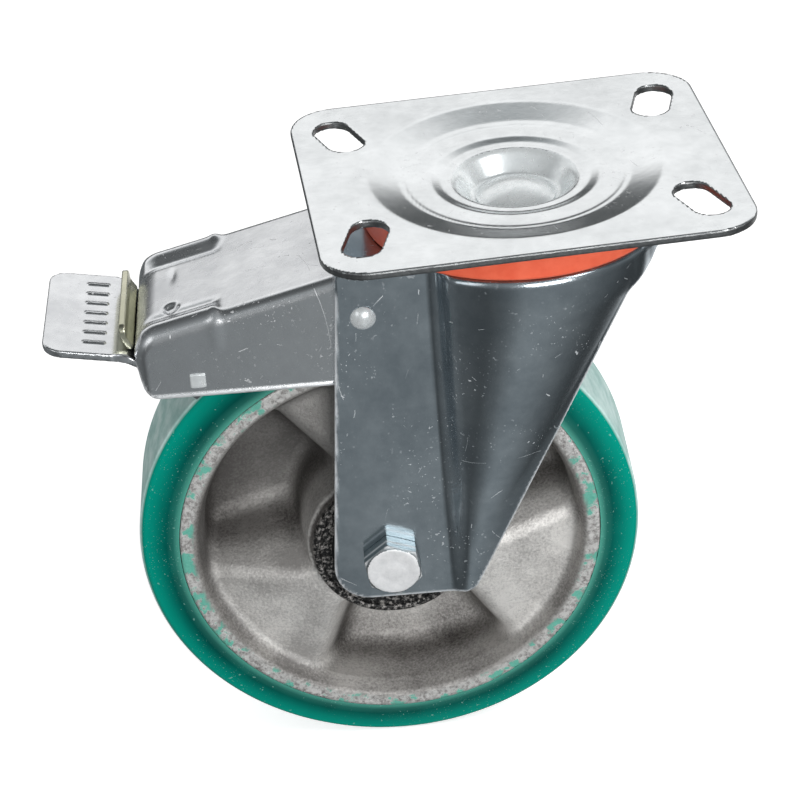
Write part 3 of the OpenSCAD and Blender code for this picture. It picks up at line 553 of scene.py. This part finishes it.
def fork_f(x, y, z):
    """The pressed sheet with its holes for the bolt, the rivet and the pin."""
    outer = r_and(fork_lateral(x, y, z), z - HEAD_TOP, 2.6)
    sheet = np.abs(outer + FORK_SHEET / 2) - FORK_SHEET / 2
    f = r_and(sheet, polygon(x, z, FORK_CUT), EDGE_ROUND)
    f = r_and(f, 4.15 - across(x, z, AXLE), HOLE_ROUND)
    f = r_and(f, 2.3 - across(x, z, RIVET), HOLE_ROUND)
    return r_and(f, 6.2 - np.sqrt(x * x + y * y), HOLE_ROUND)


H = 1.0
fork = solid("fork_sheet", fork_f, (-53.5, -37.5, -106.5), (37.8, 37.5, -9), 0.72 * H,
             "fork", "fork", "fork")
# the fork takes the darker copy of the zinc, painted shading
put(fork, M_FORK_PAINTED_DARK)


def fork_local(ob):
    """A piece's vertices in the fork's own frame, in millimetres."""
    co = np.empty(len(ob.data.vertices) * 3)
    ob.data.vertices.foreach_get("co", co)
    co = co.reshape(-1, 3) / MM
    c, s = math.cos(PSI), math.sin(PSI)
    return co[:, 0] * c + co[:, 1] * s, -co[:, 0] * s + co[:, 1] * c, co[:, 2]


fx, fy, fz = fork_local(fork)
# painted highlight along the cut edges of the legs below the head
attribute(fork, "wear_and_painted_highlight", step(-0.75, -0.25, polygon(fx, fz, FORK_CUT)) * step(-16, -19, fz))


# ---------------------------------------------------------------- top plate
def table_of(points, soft):
    """A height profile, softened by averaging over +-soft."""
    r = np.linspace(0, 75, 1501)
    h = np.interp(r, *zip(*points))
    k = max(1, int(soft / (r[1] - r[0])))
    kernel = np.hanning(2 * k + 3)
    pad = np.pad(h, k + 1, mode="edge")
    return r, np.convolve(pad, kernel / kernel.sum(), mode="valid")


# height of the plate's upper face by radius: cup, inner step, dish floor, dish side
DISH_R, DISH_H = table_of([(0, -7.5), (10.8, -7.5), (14.0, -3.3), (15.2, -2.7), (17.6, -2.7),
                           (20.0, -2.0), (26.6, -2.0), (34.9, 0), (75, 0)], 0.8)
DISH_H = DISH_H + 0.16 * bell(DISH_R, 26.4, 0.7)
DISH_SLOPE = np.gradient(DISH_H, DISH_R)
PLATE_HALF, PLATE_CORNER, PLATE_SHEET = (50, 42.5), 11, 2
SLOT, SLOT_HALF = ((40.0, 30.0), (37.5, 22.5)), 4.5
CUP_RADIUS_M = 0.0151


def plate_f(x, y, z):
    """The dished sheet with rounded corners, four slots and the pin's hole."""
    r = np.sqrt(x * x + y * y)
    h = np.interp(r, DISH_R, DISH_H)
    c = 1 / np.sqrt(1 + np.interp(r, DISH_R, DISH_SLOPE) ** 2)
    sheet = np.abs((z - h) * c + PLATE_SHEET / 2) - PLATE_SHEET / 2
    qx = np.abs(x) - PLATE_HALF[0] + PLATE_CORNER
    qy = np.abs(y) - PLATE_HALF[1] + PLATE_CORNER
    rim = np.sqrt(np.maximum(qx, 0) ** 2 + np.maximum(qy, 0) ** 2)
    rim = rim + np.minimum(np.maximum(qx, qy), 0) - PLATE_CORNER
    f = r_and(sheet, rim, 0.5)
    f = r_and(f, SLOT_HALF - path(np.abs(x), np.abs(y), SLOT), 0.4)
    return r_and(f, 5.1 - r, HOLE_ROUND)


plate = solid("top_plate_sheet", plate_f, (-51, -43.5, -10.2), (51, 43.5, 0.8), 0.62 * H,
              "plate", "plate", "top_plate")
put(plate, M_PLATE, M_EDGE, M_ZINC_PAINTED_LIGHT)
# the sheared outer edge and slot walls are rougher and darker, and the cup takes the pale copy of the
# zinc, painted light
for poly in plate.data.polygons:
    if abs(poly.normal.z) < 0.5 and poly.center.z > -0.0023 and poly.center.xy.length > 0.036:
        poly.material_index = 1
    elif poly.center.xy.length < CUP_RADIUS_M:
        poly.material_index = 2


# ---------------------------------------------------------------- pivot pin and seal ring
def dome(r, base, rise, n=14):
    """Profile of a spherical cap from its edge to its top."""
    big = (r * r + rise * rise) / (2 * rise)
    return [(r * t / n, base + math.sqrt(max(big * big - (r * t / n) ** 2, 0)) - (big - rise))
            for t in range(n, -1, -1)]


pin_profile = [(0, -23.15), (7.6, -23.15), (8.0, -22.8), (8.0, -20.6), (5.0, -20.55), (5.0, -17.6),
               (6.0, -17.55), (6.0, -9.5), (5.0, -9.5), (5.0, -7.45), (9.0, -7.45), (9.5, -7.1)]
pin_profile += dome(9.45, -7.1, 2.95)
pin = lathe("pivot_pin_head", pin_profile, "plate", "plate", ["pivot_pin"], count=96)
# the pin's dome takes the pale copy of the zinc, painted light
put(pin, M_ZINC_PAINTED_LIGHT)

seal_profile = [(36.7, -2.4), (36.7, -9.6), (36.3, -10.15), (35.3, -10.15), (35.1, -9.9),
                (35.1, -2.35), (35.3, -2.15), (36.4, -2.15)]
seal = lathe("seal_ring_moulding", seal_profile, "fork", "fork", ["seal_ring"], count=220)
put(seal, M_ORANGE)


# ---------------------------------------------------------------- brake housing
SLOPE = math.radians(14.2)
HOUSING_CUT = fillet(
    [(-44, 2), (-44, -18.1), (-38.5, -18.1), (-32.5, -24.1), (-38.5, -43.5), (-90.9, -43.5),
     (-93.2, -33.0), (-96, -31), (-96, 2)],
    [0, 2, 3, 4, 3, 4.2, 1.0, 0, 0])
HOUSING_HALF, HOUSING_BACK, HOUSING_SHEET = 20.7, -92.9, 2
DIMPLE = (-83.6, -9.6)


def housing_f(x, y, z):
    """The channel with its raised corners, grooves, dimple and rear mouth."""
    a = np.abs(y)
    top = (z + 15.6 - (x + 46) * math.tan(SLOPE)) * math.cos(SLOPE)
    o = r_and(r_and(top, HOUSING_BACK - x, 5.4), a - HOUSING_HALF, 3.0)
    rear = step(-70.8, -74.2, x) * step(-93.2, -90.5, x)
    raised = 1.15 * rear * bell(a, 17.2, 2.3) + 0.5 * bell(x, -72.8, 1.5) * bell(a, 18.2, 2.0)
    groove = 0.42 * rear * bell(a, 12.6, 1.3)
    dent = 1.15 * np.exp(-((((x - DIMPLE[0]) / 1.7) ** 2 + ((y - DIMPLE[1]) / 1.9) ** 2) ** 2))
    dent = dent + 0.3 * np.exp(-(((x - DIMPLE[0]) / 0.8) ** 2) - (((y - 5.6) / 3.0) ** 2))
    o = o - (raised - groove - dent) * step(-30, -24, z - (x + 60) * 0.25)
    o = o - 0.4 * step(-41.9, -43.2, z) * step(15, 18, a)
    sheet = np.abs(o + HOUSING_SHEET / 2) - HOUSING_SHEET / 2
    f = r_and(sheet, polygon(x, z, HOUSING_CUT), EDGE_ROUND)
    mouth = np.maximum(np.maximum(a - 18.7, z + 32.7), x + 86)
    f = r_and(f, -mouth, 0.4)
    return r_and(f, 2.05 - across(x, z, RIVET), 0.2)


housing = solid("brake_housing_sheet", housing_f, (-94.5, -22.3, -44.8), (-31.5, 22.3, -13.2),
                0.52 * H, "fork", "fork", "brake_housing")
put(housing, M_BRAKE)
fx, fy, fz = fork_local(housing)
# painted highlight along the side walls' cut edges
attribute(housing, "wear_and_painted_highlight", step(-0.7, -0.25, polygon(fx, fz, HOUSING_CUT)) * (np.abs(fy) > 18))


# ---------------------------------------------------------------- pedal, release lip
# middle line of the pedal's sheet, from the tab over the dip to the ears
PEDAL_PATH = fillet([(-114.3, -29.35), (-97.3, -32.45), (-92.3, -36.0), (-82.8, -37.4)], [0, 6, 5, 0],
                    closed=False, n=8)
TAB_END, TAB_HALF, TAB_CORNER, DIP_HALF = -114.4, 19.0, 4.5, 17.0
RIB_PITCH, RIB_CENTRE = 4.6, -102.4
EAR_RADIUS, EAR_BORE, CAM_FLAT = 5.0, 2.55, 3.6
CAM_ANGLE = math.radians(-51.95)


def pedal_f(x, y, z):
    """The ribbed tab and dip, and the two hinge ears with their cam flats."""
    a = np.abs(y)
    sheet = path(x, z, PEDAL_PATH) - 1
    qx = np.maximum(TAB_END + TAB_CORNER - x, 0)
    qy = np.maximum(a - TAB_HALF + TAB_CORNER, 0)
    corner = np.sqrt(qx ** 2 + qy ** 2) - TAB_CORNER
    blend = step(-98.5, -94.0, x)
    plan = corner * (1 - blend) + np.maximum(corner, a - DIP_HALF) * blend
    rib = (y / RIB_PITCH + 0.5) % 1 - 0.5
    ribs = 0.35 * bell(rib * RIB_PITCH, 0, 0.55) * step(2.9, 2.3, np.abs(x - RIB_CENTRE))
    ribs = ribs * step(17.4, 16.6, a) * (z > -33)
    f = r_and(sheet - ribs, plan, 0.5)
    dx, dz, r = x - HINGE[0], z - HINGE[1], across(x, z, HINGE)
    ear = np.maximum(r - EAR_RADIUS, EAR_BORE - r)
    lug = np.maximum(np.abs(dx + 2.5) - 2.5, np.abs(dz - 1.4) - 1.4)
    lug = np.maximum(lug, EAR_BORE - r)
    flat = dx * math.cos(CAM_ANGLE) + dz * math.sin(CAM_ANGLE) - CAM_FLAT
    ear = np.maximum(np.minimum(ear, lug), flat)
    ear = np.maximum(ear, np.abs(a - 16) - 1)
    return np.minimum(f, ear)


pedal = solid("brake_pedal_sheet", pedal_f, (-115.8, -20.2, -45), (-72.5, 20.2, -27), 0.5 * H,
              "fork", "pedal", "brake_pedal")
put(pedal, M_BRAKE)

LIP_PATH = fillet([(-95.5, -26.7), (-95.3, -29.9), (-93.95, -32.25)], [0, 3, 0], closed=False)
LIP_HALF, LIP_TOP, LIP_CORNER, LIP_SHEET = 14.5, -26.6, 2, 1.6


def lip_f(x, y, z):
    """The upright strip with its two rounded upper corners."""
    sheet = path(x, z, LIP_PATH) - LIP_SHEET / 2
    a = np.abs(y)
    qy = np.maximum(a - LIP_HALF + LIP_CORNER, 0)
    qz = np.maximum(z - LIP_TOP + LIP_CORNER, 0)
    corner = np.sqrt(qy ** 2 + qz ** 2) - LIP_CORNER
    return r_and(sheet, np.maximum(corner, a - LIP_HALF), 0.35)


lip = solid("release_lip_sheet", lip_f, (-97.2, -15.5, -34), (-92, 15.5, -25), 0.4 * H,
            "fork", "pedal", "release_lip")
put(lip, M_YELLOW)


# ---------------------------------------------------------------- wheel centre
RIM_RADIUS, RIM_HALF = 52.55, 15.5
HUB_RADIUS, HUB_HALF, HUB_DRAFT = 19.5, 19, 0.12
LOBE_DRAFT = 0.228
NEAR_LOBES, FAR_LOBES = 96.4 + 60, 96.4
LOBE_ANGLE, FLANK_DRAFT = math.radians(27.4), math.radians(23.5)


def wheel_f(x, y, z):
    """The casting: rim and hub, with a recess of three raised lobes on each side."""
    r = np.sqrt(x * x + y * y)
    az = np.abs(z)
    outer = r_and(r - RIM_RADIUS, az - RIM_HALF, 0.5)
    hub = r_and(r - HUB_RADIUS - (HUB_HALF - az) * HUB_DRAFT, az - HUB_HALF, 0.7)
    body = np.minimum(outer, hub)
    theta = np.degrees(np.arctan2(y, x))

    def void(sign, turn_by):
        """The air on one side: a ring-shaped recess less the three raised lobes."""
        zz = z * sign
        t = np.radians((theta - turn_by + 60) % 120 - 60)
        px, py = r * np.cos(t), np.abs(r * np.sin(t))
        wall_in = 24.0 - (zz + 8.5) * 0.133 - r
        wall_out = r - (45.9 + np.maximum(zz + 3.5, 0) * 0.0717 + np.maximum(zz - 11, 0) * 0.275)
        floor = (-8.5 + (r - 24) * LOBE_DRAFT - zz) * 0.975
        ring = r_and(r_and(wall_out, floor, 3.4), wall_in, 3.0)
        top = (17 - (r - 20.6) * LOBE_DRAFT - zz) * 0.975
        flank = py * math.cos(LOBE_ANGLE) - px * math.sin(LOBE_ANGLE)
        flank = flank * math.cos(FLANK_DRAFT) - zz * math.sin(FLANK_DRAFT)
        lobe = r_and(-top, -flank, 2.6)
        return r_and(ring, -lobe, 3.0)

    f = r_and(body, -void(1, NEAR_LOBES), 0.8)
    f = r_and(f, -void(-1, FAR_LOBES), 0.8)
    bore = np.where(az > 7.2, 17.55, 15.9)
    return r_and(f, bore - r, 0.4)


centre = solid("wheel_centre_casting", wheel_f, (-53.6, -53.6, -19.8), (53.6, 53.6, 19.8), 0.85 * H,
               "axle", "wheel", "wheel_centre")
put(centre, M_CAST, M_GREASE)


def axle_local(ob):
    """Radius and height of a wheel piece's vertices about the axle, in millimetres."""
    xf, yf, zf = fork_local(ob)
    return np.hypot(xf - AXLE[0], zf - AXLE[1]), -yf


HUB_FACE = 20.2
rad, height = axle_local(centre)
attribute(centre, "lip", step(49.0, 49.6, rad) * step(14.6, 15.2, np.abs(height)))
off_hub = rad > HUB_FACE
# painted shadow: the pocket floors take the near-black colour, and the rim's inner wall is darkened most
# of the way to it
attribute(centre, "raised", step(1, 9, np.abs(height)) * off_hub * (1 - 0.7 * step(45.6, 47.0, rad)))
# painted shadow of the leg and the rim over the upper left of the web
wx, _, wz = fork_local(centre)
up_left = (wz - AXLE[1]) * 0.75 - (wx - AXLE[0]) * 0.6
attribute(centre, "painted_web_shadow", step(4, 30, up_left) * step(48.6, 47.6, rad))
# the hub's end faces are greasy
for poly in centre.data.polygons:
    i = poly.vertices[0]
    if rad[i] < HUB_FACE and abs(height[i]) > 17.2:
        poly.material_index = 1


# ---------------------------------------------------------------- tyre
def tyre_profile():
    """Half section of the tread, with points close enough for its attributes."""
    pts = fillet([(52.62, -15.1), (61.4, -13.5), (62.5, -12.1), (62.5, 12.1), (61.4, 13.5),
                  (52.62, 15.1)], [0, 1.6, 1.4, 1.4, 1.6, 0], n=8)
    out = []
    for i, p in enumerate(pts):
        q = pts[(i + 1) % len(pts)]
        seg = max(1, int(math.hypot(q[0] - p[0], q[1] - p[1]) / 1.6))
        out += [(p[0] + (q[0] - p[0]) * k / seg, p[1] + (q[1] - p[1]) * k / seg) for k in range(seg)]
    return out


tyre = lathe("tyre_moulding", tyre_profile(), "axle", "wheel", ["tyre"], sharp=60, count=256)
put(tyre, M_TYRE)
rad, height = axle_local(tyre)
attribute(tyre, "tread", step(61.7, 62.3, rad) * step(13.0, 12.4, np.abs(height)))
# painted light on the shoulder: the outer part of the sidewall is coloured paler green
attribute(tyre, "edge", step(55.0, 61.5, rad))
attribute(tyre, "flash", step(54.6, 53.4, rad))


# ---------------------------------------------------------------- bolt, nut, washer, rivet, pin ends
HEX_HALF = 6.5
HEX_TURN = math.radians(-21)
HEAD_HEIGHT = 5.3


def hex_f(height):
    """A hexagon standing on z = 0 with its upper corners chamfered."""
    def f(x, y, z):
        d = np.maximum.reduce([np.abs(x * math.cos(HEX_TURN + k) + y * math.sin(HEX_TURN + k))
                               for k in (math.pi / 6, math.pi / 2, math.pi * 5 / 6)]) - HEX_HALF
        cone = (np.sqrt(x * x + y * y) + (z - height) * 1.7 - HEX_HALF * 0.96) * 0.5
        return r_and(r_and(d, cone, 0.15), np.maximum(z - height, -z), 0.15)
    return f


def bolt_f(x, y, z):
    """The shank, and the head on the near leg with a shallow dished ring in its face."""
    r = np.sqrt(x * x + y * y)
    up = z - LEG_OUT
    head = hex_f(HEAD_HEIGHT)(x, y, up + 0.18 * bell(r, 3.1, 1.5) * (up > HEAD_HEIGHT - 1))
    shank = np.maximum(r - 4, np.maximum(z - LEG_OUT - 0.5, -z - 35.1))
    return np.minimum(head, shank)


bolt = solid("axle_bolt_head", bolt_f, (-8, -8, -35.8), (8, 8, 29.4), 0.36 * H,
             "axle", "fork", "axle_bolt")
put(bolt, M_BOLT_PAINTED_DARK, M_BOLT_FACE_PAINTED_LIGHT)
up = -fork_local(bolt)[1] - LEG_OUT
# the head's face takes the pale copy, painted light, and the flanks the near-black one, painted shading
for poly in bolt.data.polygons:
    if poly.normal.y < -0.9 and up[poly.vertices[0]] > HEAD_HEIGHT - 0.35:
        poly.material_index = 1
# painted highlights: two bright bands round the flanks of the hex head
attribute(bolt, "wear_and_painted_highlight", np.maximum(bell(up, 2.6, 0.28), bell(up, 4.75, 0.22)))


WASHER_THICK = 1.6


def nut_f(x, y, z):
    """The nut's hexagon and its round lock collar, on the washer of the far leg."""
    u = -z - LEG_OUT - WASHER_THICK
    r = np.sqrt(x * x + y * y)
    f = np.minimum(hex_f(6.5)(x, y, u), r_and(r - 5.85, np.maximum(u - 8, -u), 0.6))
    return np.maximum(f, 4.02 - r)


nut = solid("axle_nut_hex", nut_f, (-8, -8, -33.6), (8, 8, -24.6), 0.36 * H, "axle", "fork", "axle_nut")
put(nut, M_PARTS)

washer_outline = [(4.15, -LEG_OUT), (8, -LEG_OUT), (8, -LEG_OUT - WASHER_THICK),
                  (4.15, -LEG_OUT - WASHER_THICK)]
washer = lathe("nut_washer_ring", fillet(washer_outline, [0.1, 0.1, 0.3, 0.2]),
               "axle", "fork", ["nut_washer"], count=96)
put(washer, M_PARTS)


def rivet_f(x, y, z):
    """The rivet's shank and a domed head on each leg."""
    r = across(x, z, RIVET)
    a = np.abs(y)
    head = np.maximum(np.sqrt(r * r + (a - LEG_OUT + 2.0) ** 2) - 3.75, LEG_OUT - 0.02 - a)
    return np.minimum(r_and(r - 3.2, head, 0.3), np.maximum(r - 2, a - LEG_OUT - 0.3))


rivet = solid("housing_rivet_heads", rivet_f, (-42.5, -25.8, -28), (-34.5, 25.8, -20), 0.33 * H,
              "fork", "fork", "housing_rivet")
# the rivet heads take the pale copy of the zinc, painted light
put(rivet, M_ZINC_PAINTED_LIGHT)


def hinge_f(x, y, z):
    """The round pin with a square staked end in each wall of the housing."""
    a = np.abs(y)
    dx, dz = np.abs(x - HINGE[0]), np.abs(z - HINGE[1])
    square = r_and(r_and(dx - 1.9, dz - 1.9, 0.35), a - 21.1, 0.3) - 0.05 * bell(dx, 0, 1)
    middle = np.maximum(across(x, z, HINGE) - 2.5, a - 18.7)
    return np.minimum(np.maximum(square, 18.6 - a), middle)


hinge = solid("hinge_pin_ends", hinge_f, (-81.5, -21.8, -42.2), (-75.5, 21.8, -36.2), 0.33 * H,
              "fork", "fork", "hinge_pin")
# the pin ends take the pale copy of the zinc, painted light
put(hinge, M_ZINC_PAINTED_LIGHT)

# ---------------------------------------------------------------- CAD nodes that stay
KEPT = {
    "lower_race": M_PARTS, "upper_balls": M_BEARING, "lower_balls": M_BEARING, "rivet_sleeve": M_TURNED,
    "brake_spring": M_SPRING, "axle_tube": M_TURNED, "bearing_spacer": M_TURNED, "near_collar": M_TURNED,
    "far_collar": M_TURNED,
}
for side in ("near", "far"):
    KEPT.update({side + "_outer_ring": M_GREASE, side + "_inner_ring": M_BEARING,
                 side + "_bearing_balls": M_BEARING, side + "_cage": M_CAGE, side + "_seals": M_RUBBER})
for name, mat in KEPT.items():
    put(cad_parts[name], mat)


# ---------------------------------------------------------------- floor, world and lights
# What metal sees of the studio: over the top, by angle from the front horizon (90 is straight up),
# and below the horizon by azimuth. Each stop is an angle in degrees and a grey.
ARC_TONES = [(-180, 0.08), (-90, 0.2), (0, 0.16), (16, 0.17), (26, 0.2), (50, 0.24), (62, 0.16),
             (72, 0.10), (104, 0.06), (118, 0.07), (126, 0.35), (134, 0.95), (156, 1.0), (159, 0.6),
             (162, 0.12), (170, 0.06), (180, 0.06)]
LOW_TONES = [(-180, 0.14), (-152, 0.12), (-124, 0.07), (-108, 0.14), (-96, 0.24), (-84, 0.28),
             (-62, 0.24), (-24, 0.12), (0, 0.05), (18, 0.07), (25, 0.5), (32, 0.95), (75, 0.9),
             (90, 0.2), (120, 0.12), (180, 0.14)]
PAPER_HALF, PAPER_LEVEL = 6.0, -0.1561


def ramp(k, fac, stops):
    """A colour ramp of greys over a full turn, slightly blue where it is dark."""
    n = k.new("ShaderNodeValToRGB", {0: fac})
    el = n.color_ramp.elements
    while len(el) < len(stops):
        el.new(0.5)
    for e, (angle, v) in zip(el, stops):
        e.position = (angle + 180) / 360
        e.color = (v * (1 - 0.07 * (v < 0.5)), v, v * (1 + 0.03 * (v < 0.5)), 1)
    return n.outputs[0]


def floor_and_world():
    """White paper that keeps the shadow, and the studio that lights the part and shows in metal."""
    me = bpy.data.meshes.new("floor")
    s, z = PAPER_HALF, PAPER_LEVEL
    me.from_pydata([(-s, -s, z), (s, -s, z), (s, s, z), (-s, s, z)], [], [(0, 1, 2, 3)])
    floor = bpy.data.objects.new("floor", me)
    bpy.context.scene.collection.objects.link(floor)
    k = Nodes("floor_paper")
    lp = k.new("ShaderNodeLightPath")
    seen = k.math("MAXIMUM", lp.outputs["Is Camera Ray"], lp.outputs["Is Transmission Ray"])
    grain = k.noise(k.coords(), 900, 2)
    col = k.mix(seen, (0.40, 0.41, 0.42), (0.86, 0.86, 0.86))
    col = k.mix(k.math("MULTIPLY", grain, 0.02), col, (0.8, 0.8, 0.8))
    sh = k.new("ShaderNodeBsdfPrincipled", {"Base Color": col, "Roughness": 0.9,
                                            "Specular IOR Level": 0.1,
                                            "Emission Color": (1, 1, 1, 1),
                                            "Emission Strength": k.math("MULTIPLY", seen, 0.55)})
    out = k.new("ShaderNodeOutputMaterial")
    k.t.links.new(sh.outputs[0], out.inputs[0])
    me.materials.append(k.mat)
    floor.visible_glossy = False

    k = Nodes("studio", world=True)
    lp = k.new("ShaderNodeLightPath")
    d = k.new("ShaderNodeSeparateXYZ", {0: k.new("ShaderNodeTexCoord").outputs["Generated"]})
    turn_share = k.band(k.math("ARCTAN2", d.outputs[1], d.outputs[0]), -math.pi, math.pi)
    forward = k.math("MULTIPLY", d.outputs[1], -1.0)
    arc_share = k.band(k.math("ARCTAN2", d.outputs[2], forward), -math.pi, math.pi)
    high = ramp(k, arc_share, ARC_TONES)
    low = ramp(k, turn_share, LOW_TONES)
    studio = k.mix(k.band(d.outputs[2], -0.16, 0.03), low, high)
    bg_gloss = k.new("ShaderNodeBackground", {"Color": studio, "Strength": 1.0})
    bg_light = k.new("ShaderNodeBackground", {"Color": (1, 1, 1, 1), "Strength": 0.55})
    bg_seen = k.new("ShaderNodeBackground", {"Color": (1, 1, 1, 1), "Strength": 1.0})
    m1 = k.new("ShaderNodeMixShader", {0: lp.outputs["Is Glossy Ray"], 1: bg_light.outputs[0],
                                       2: bg_gloss.outputs[0]})
    seen = k.math("MAXIMUM", lp.outputs["Is Camera Ray"], lp.outputs["Is Transmission Ray"])
    m2 = k.new("ShaderNodeMixShader", {0: seen, 1: m1.outputs[0], 2: bg_seen.outputs[0]})
    out = k.new("ShaderNodeOutputWorld")
    k.t.links.new(m2.outputs[0], out.inputs[0])
    bpy.context.scene.world = k.mat


LAMP_AIM = (0, 0, -0.08)


def lamp(name, where, size, power):
    data = bpy.data.lights.new(name, "AREA")
    data.shape = "RECTANGLE"
    data.size, data.size_y = size
    data.energy = power
    ob = bpy.data.objects.new(name, data)
    bpy.context.scene.collection.objects.link(ob)
    ob.location = where
    ob.rotation_euler = (Vector(LAMP_AIM) - Vector(where)).to_track_quat("-Z", "Y").to_euler()


floor_and_world()
lamp("key", (0.75, -0.65, 0.95), (0.5, 0.5), 6)
lamp("front", (0.25, -1.25, 0.35), (0.6, 0.5), 9)
lamp("left", (-0.8, -0.7, 0.4), (0.4, 0.5), 0.7)

bpy.context.scene.view_settings.view_transform = "Standard"
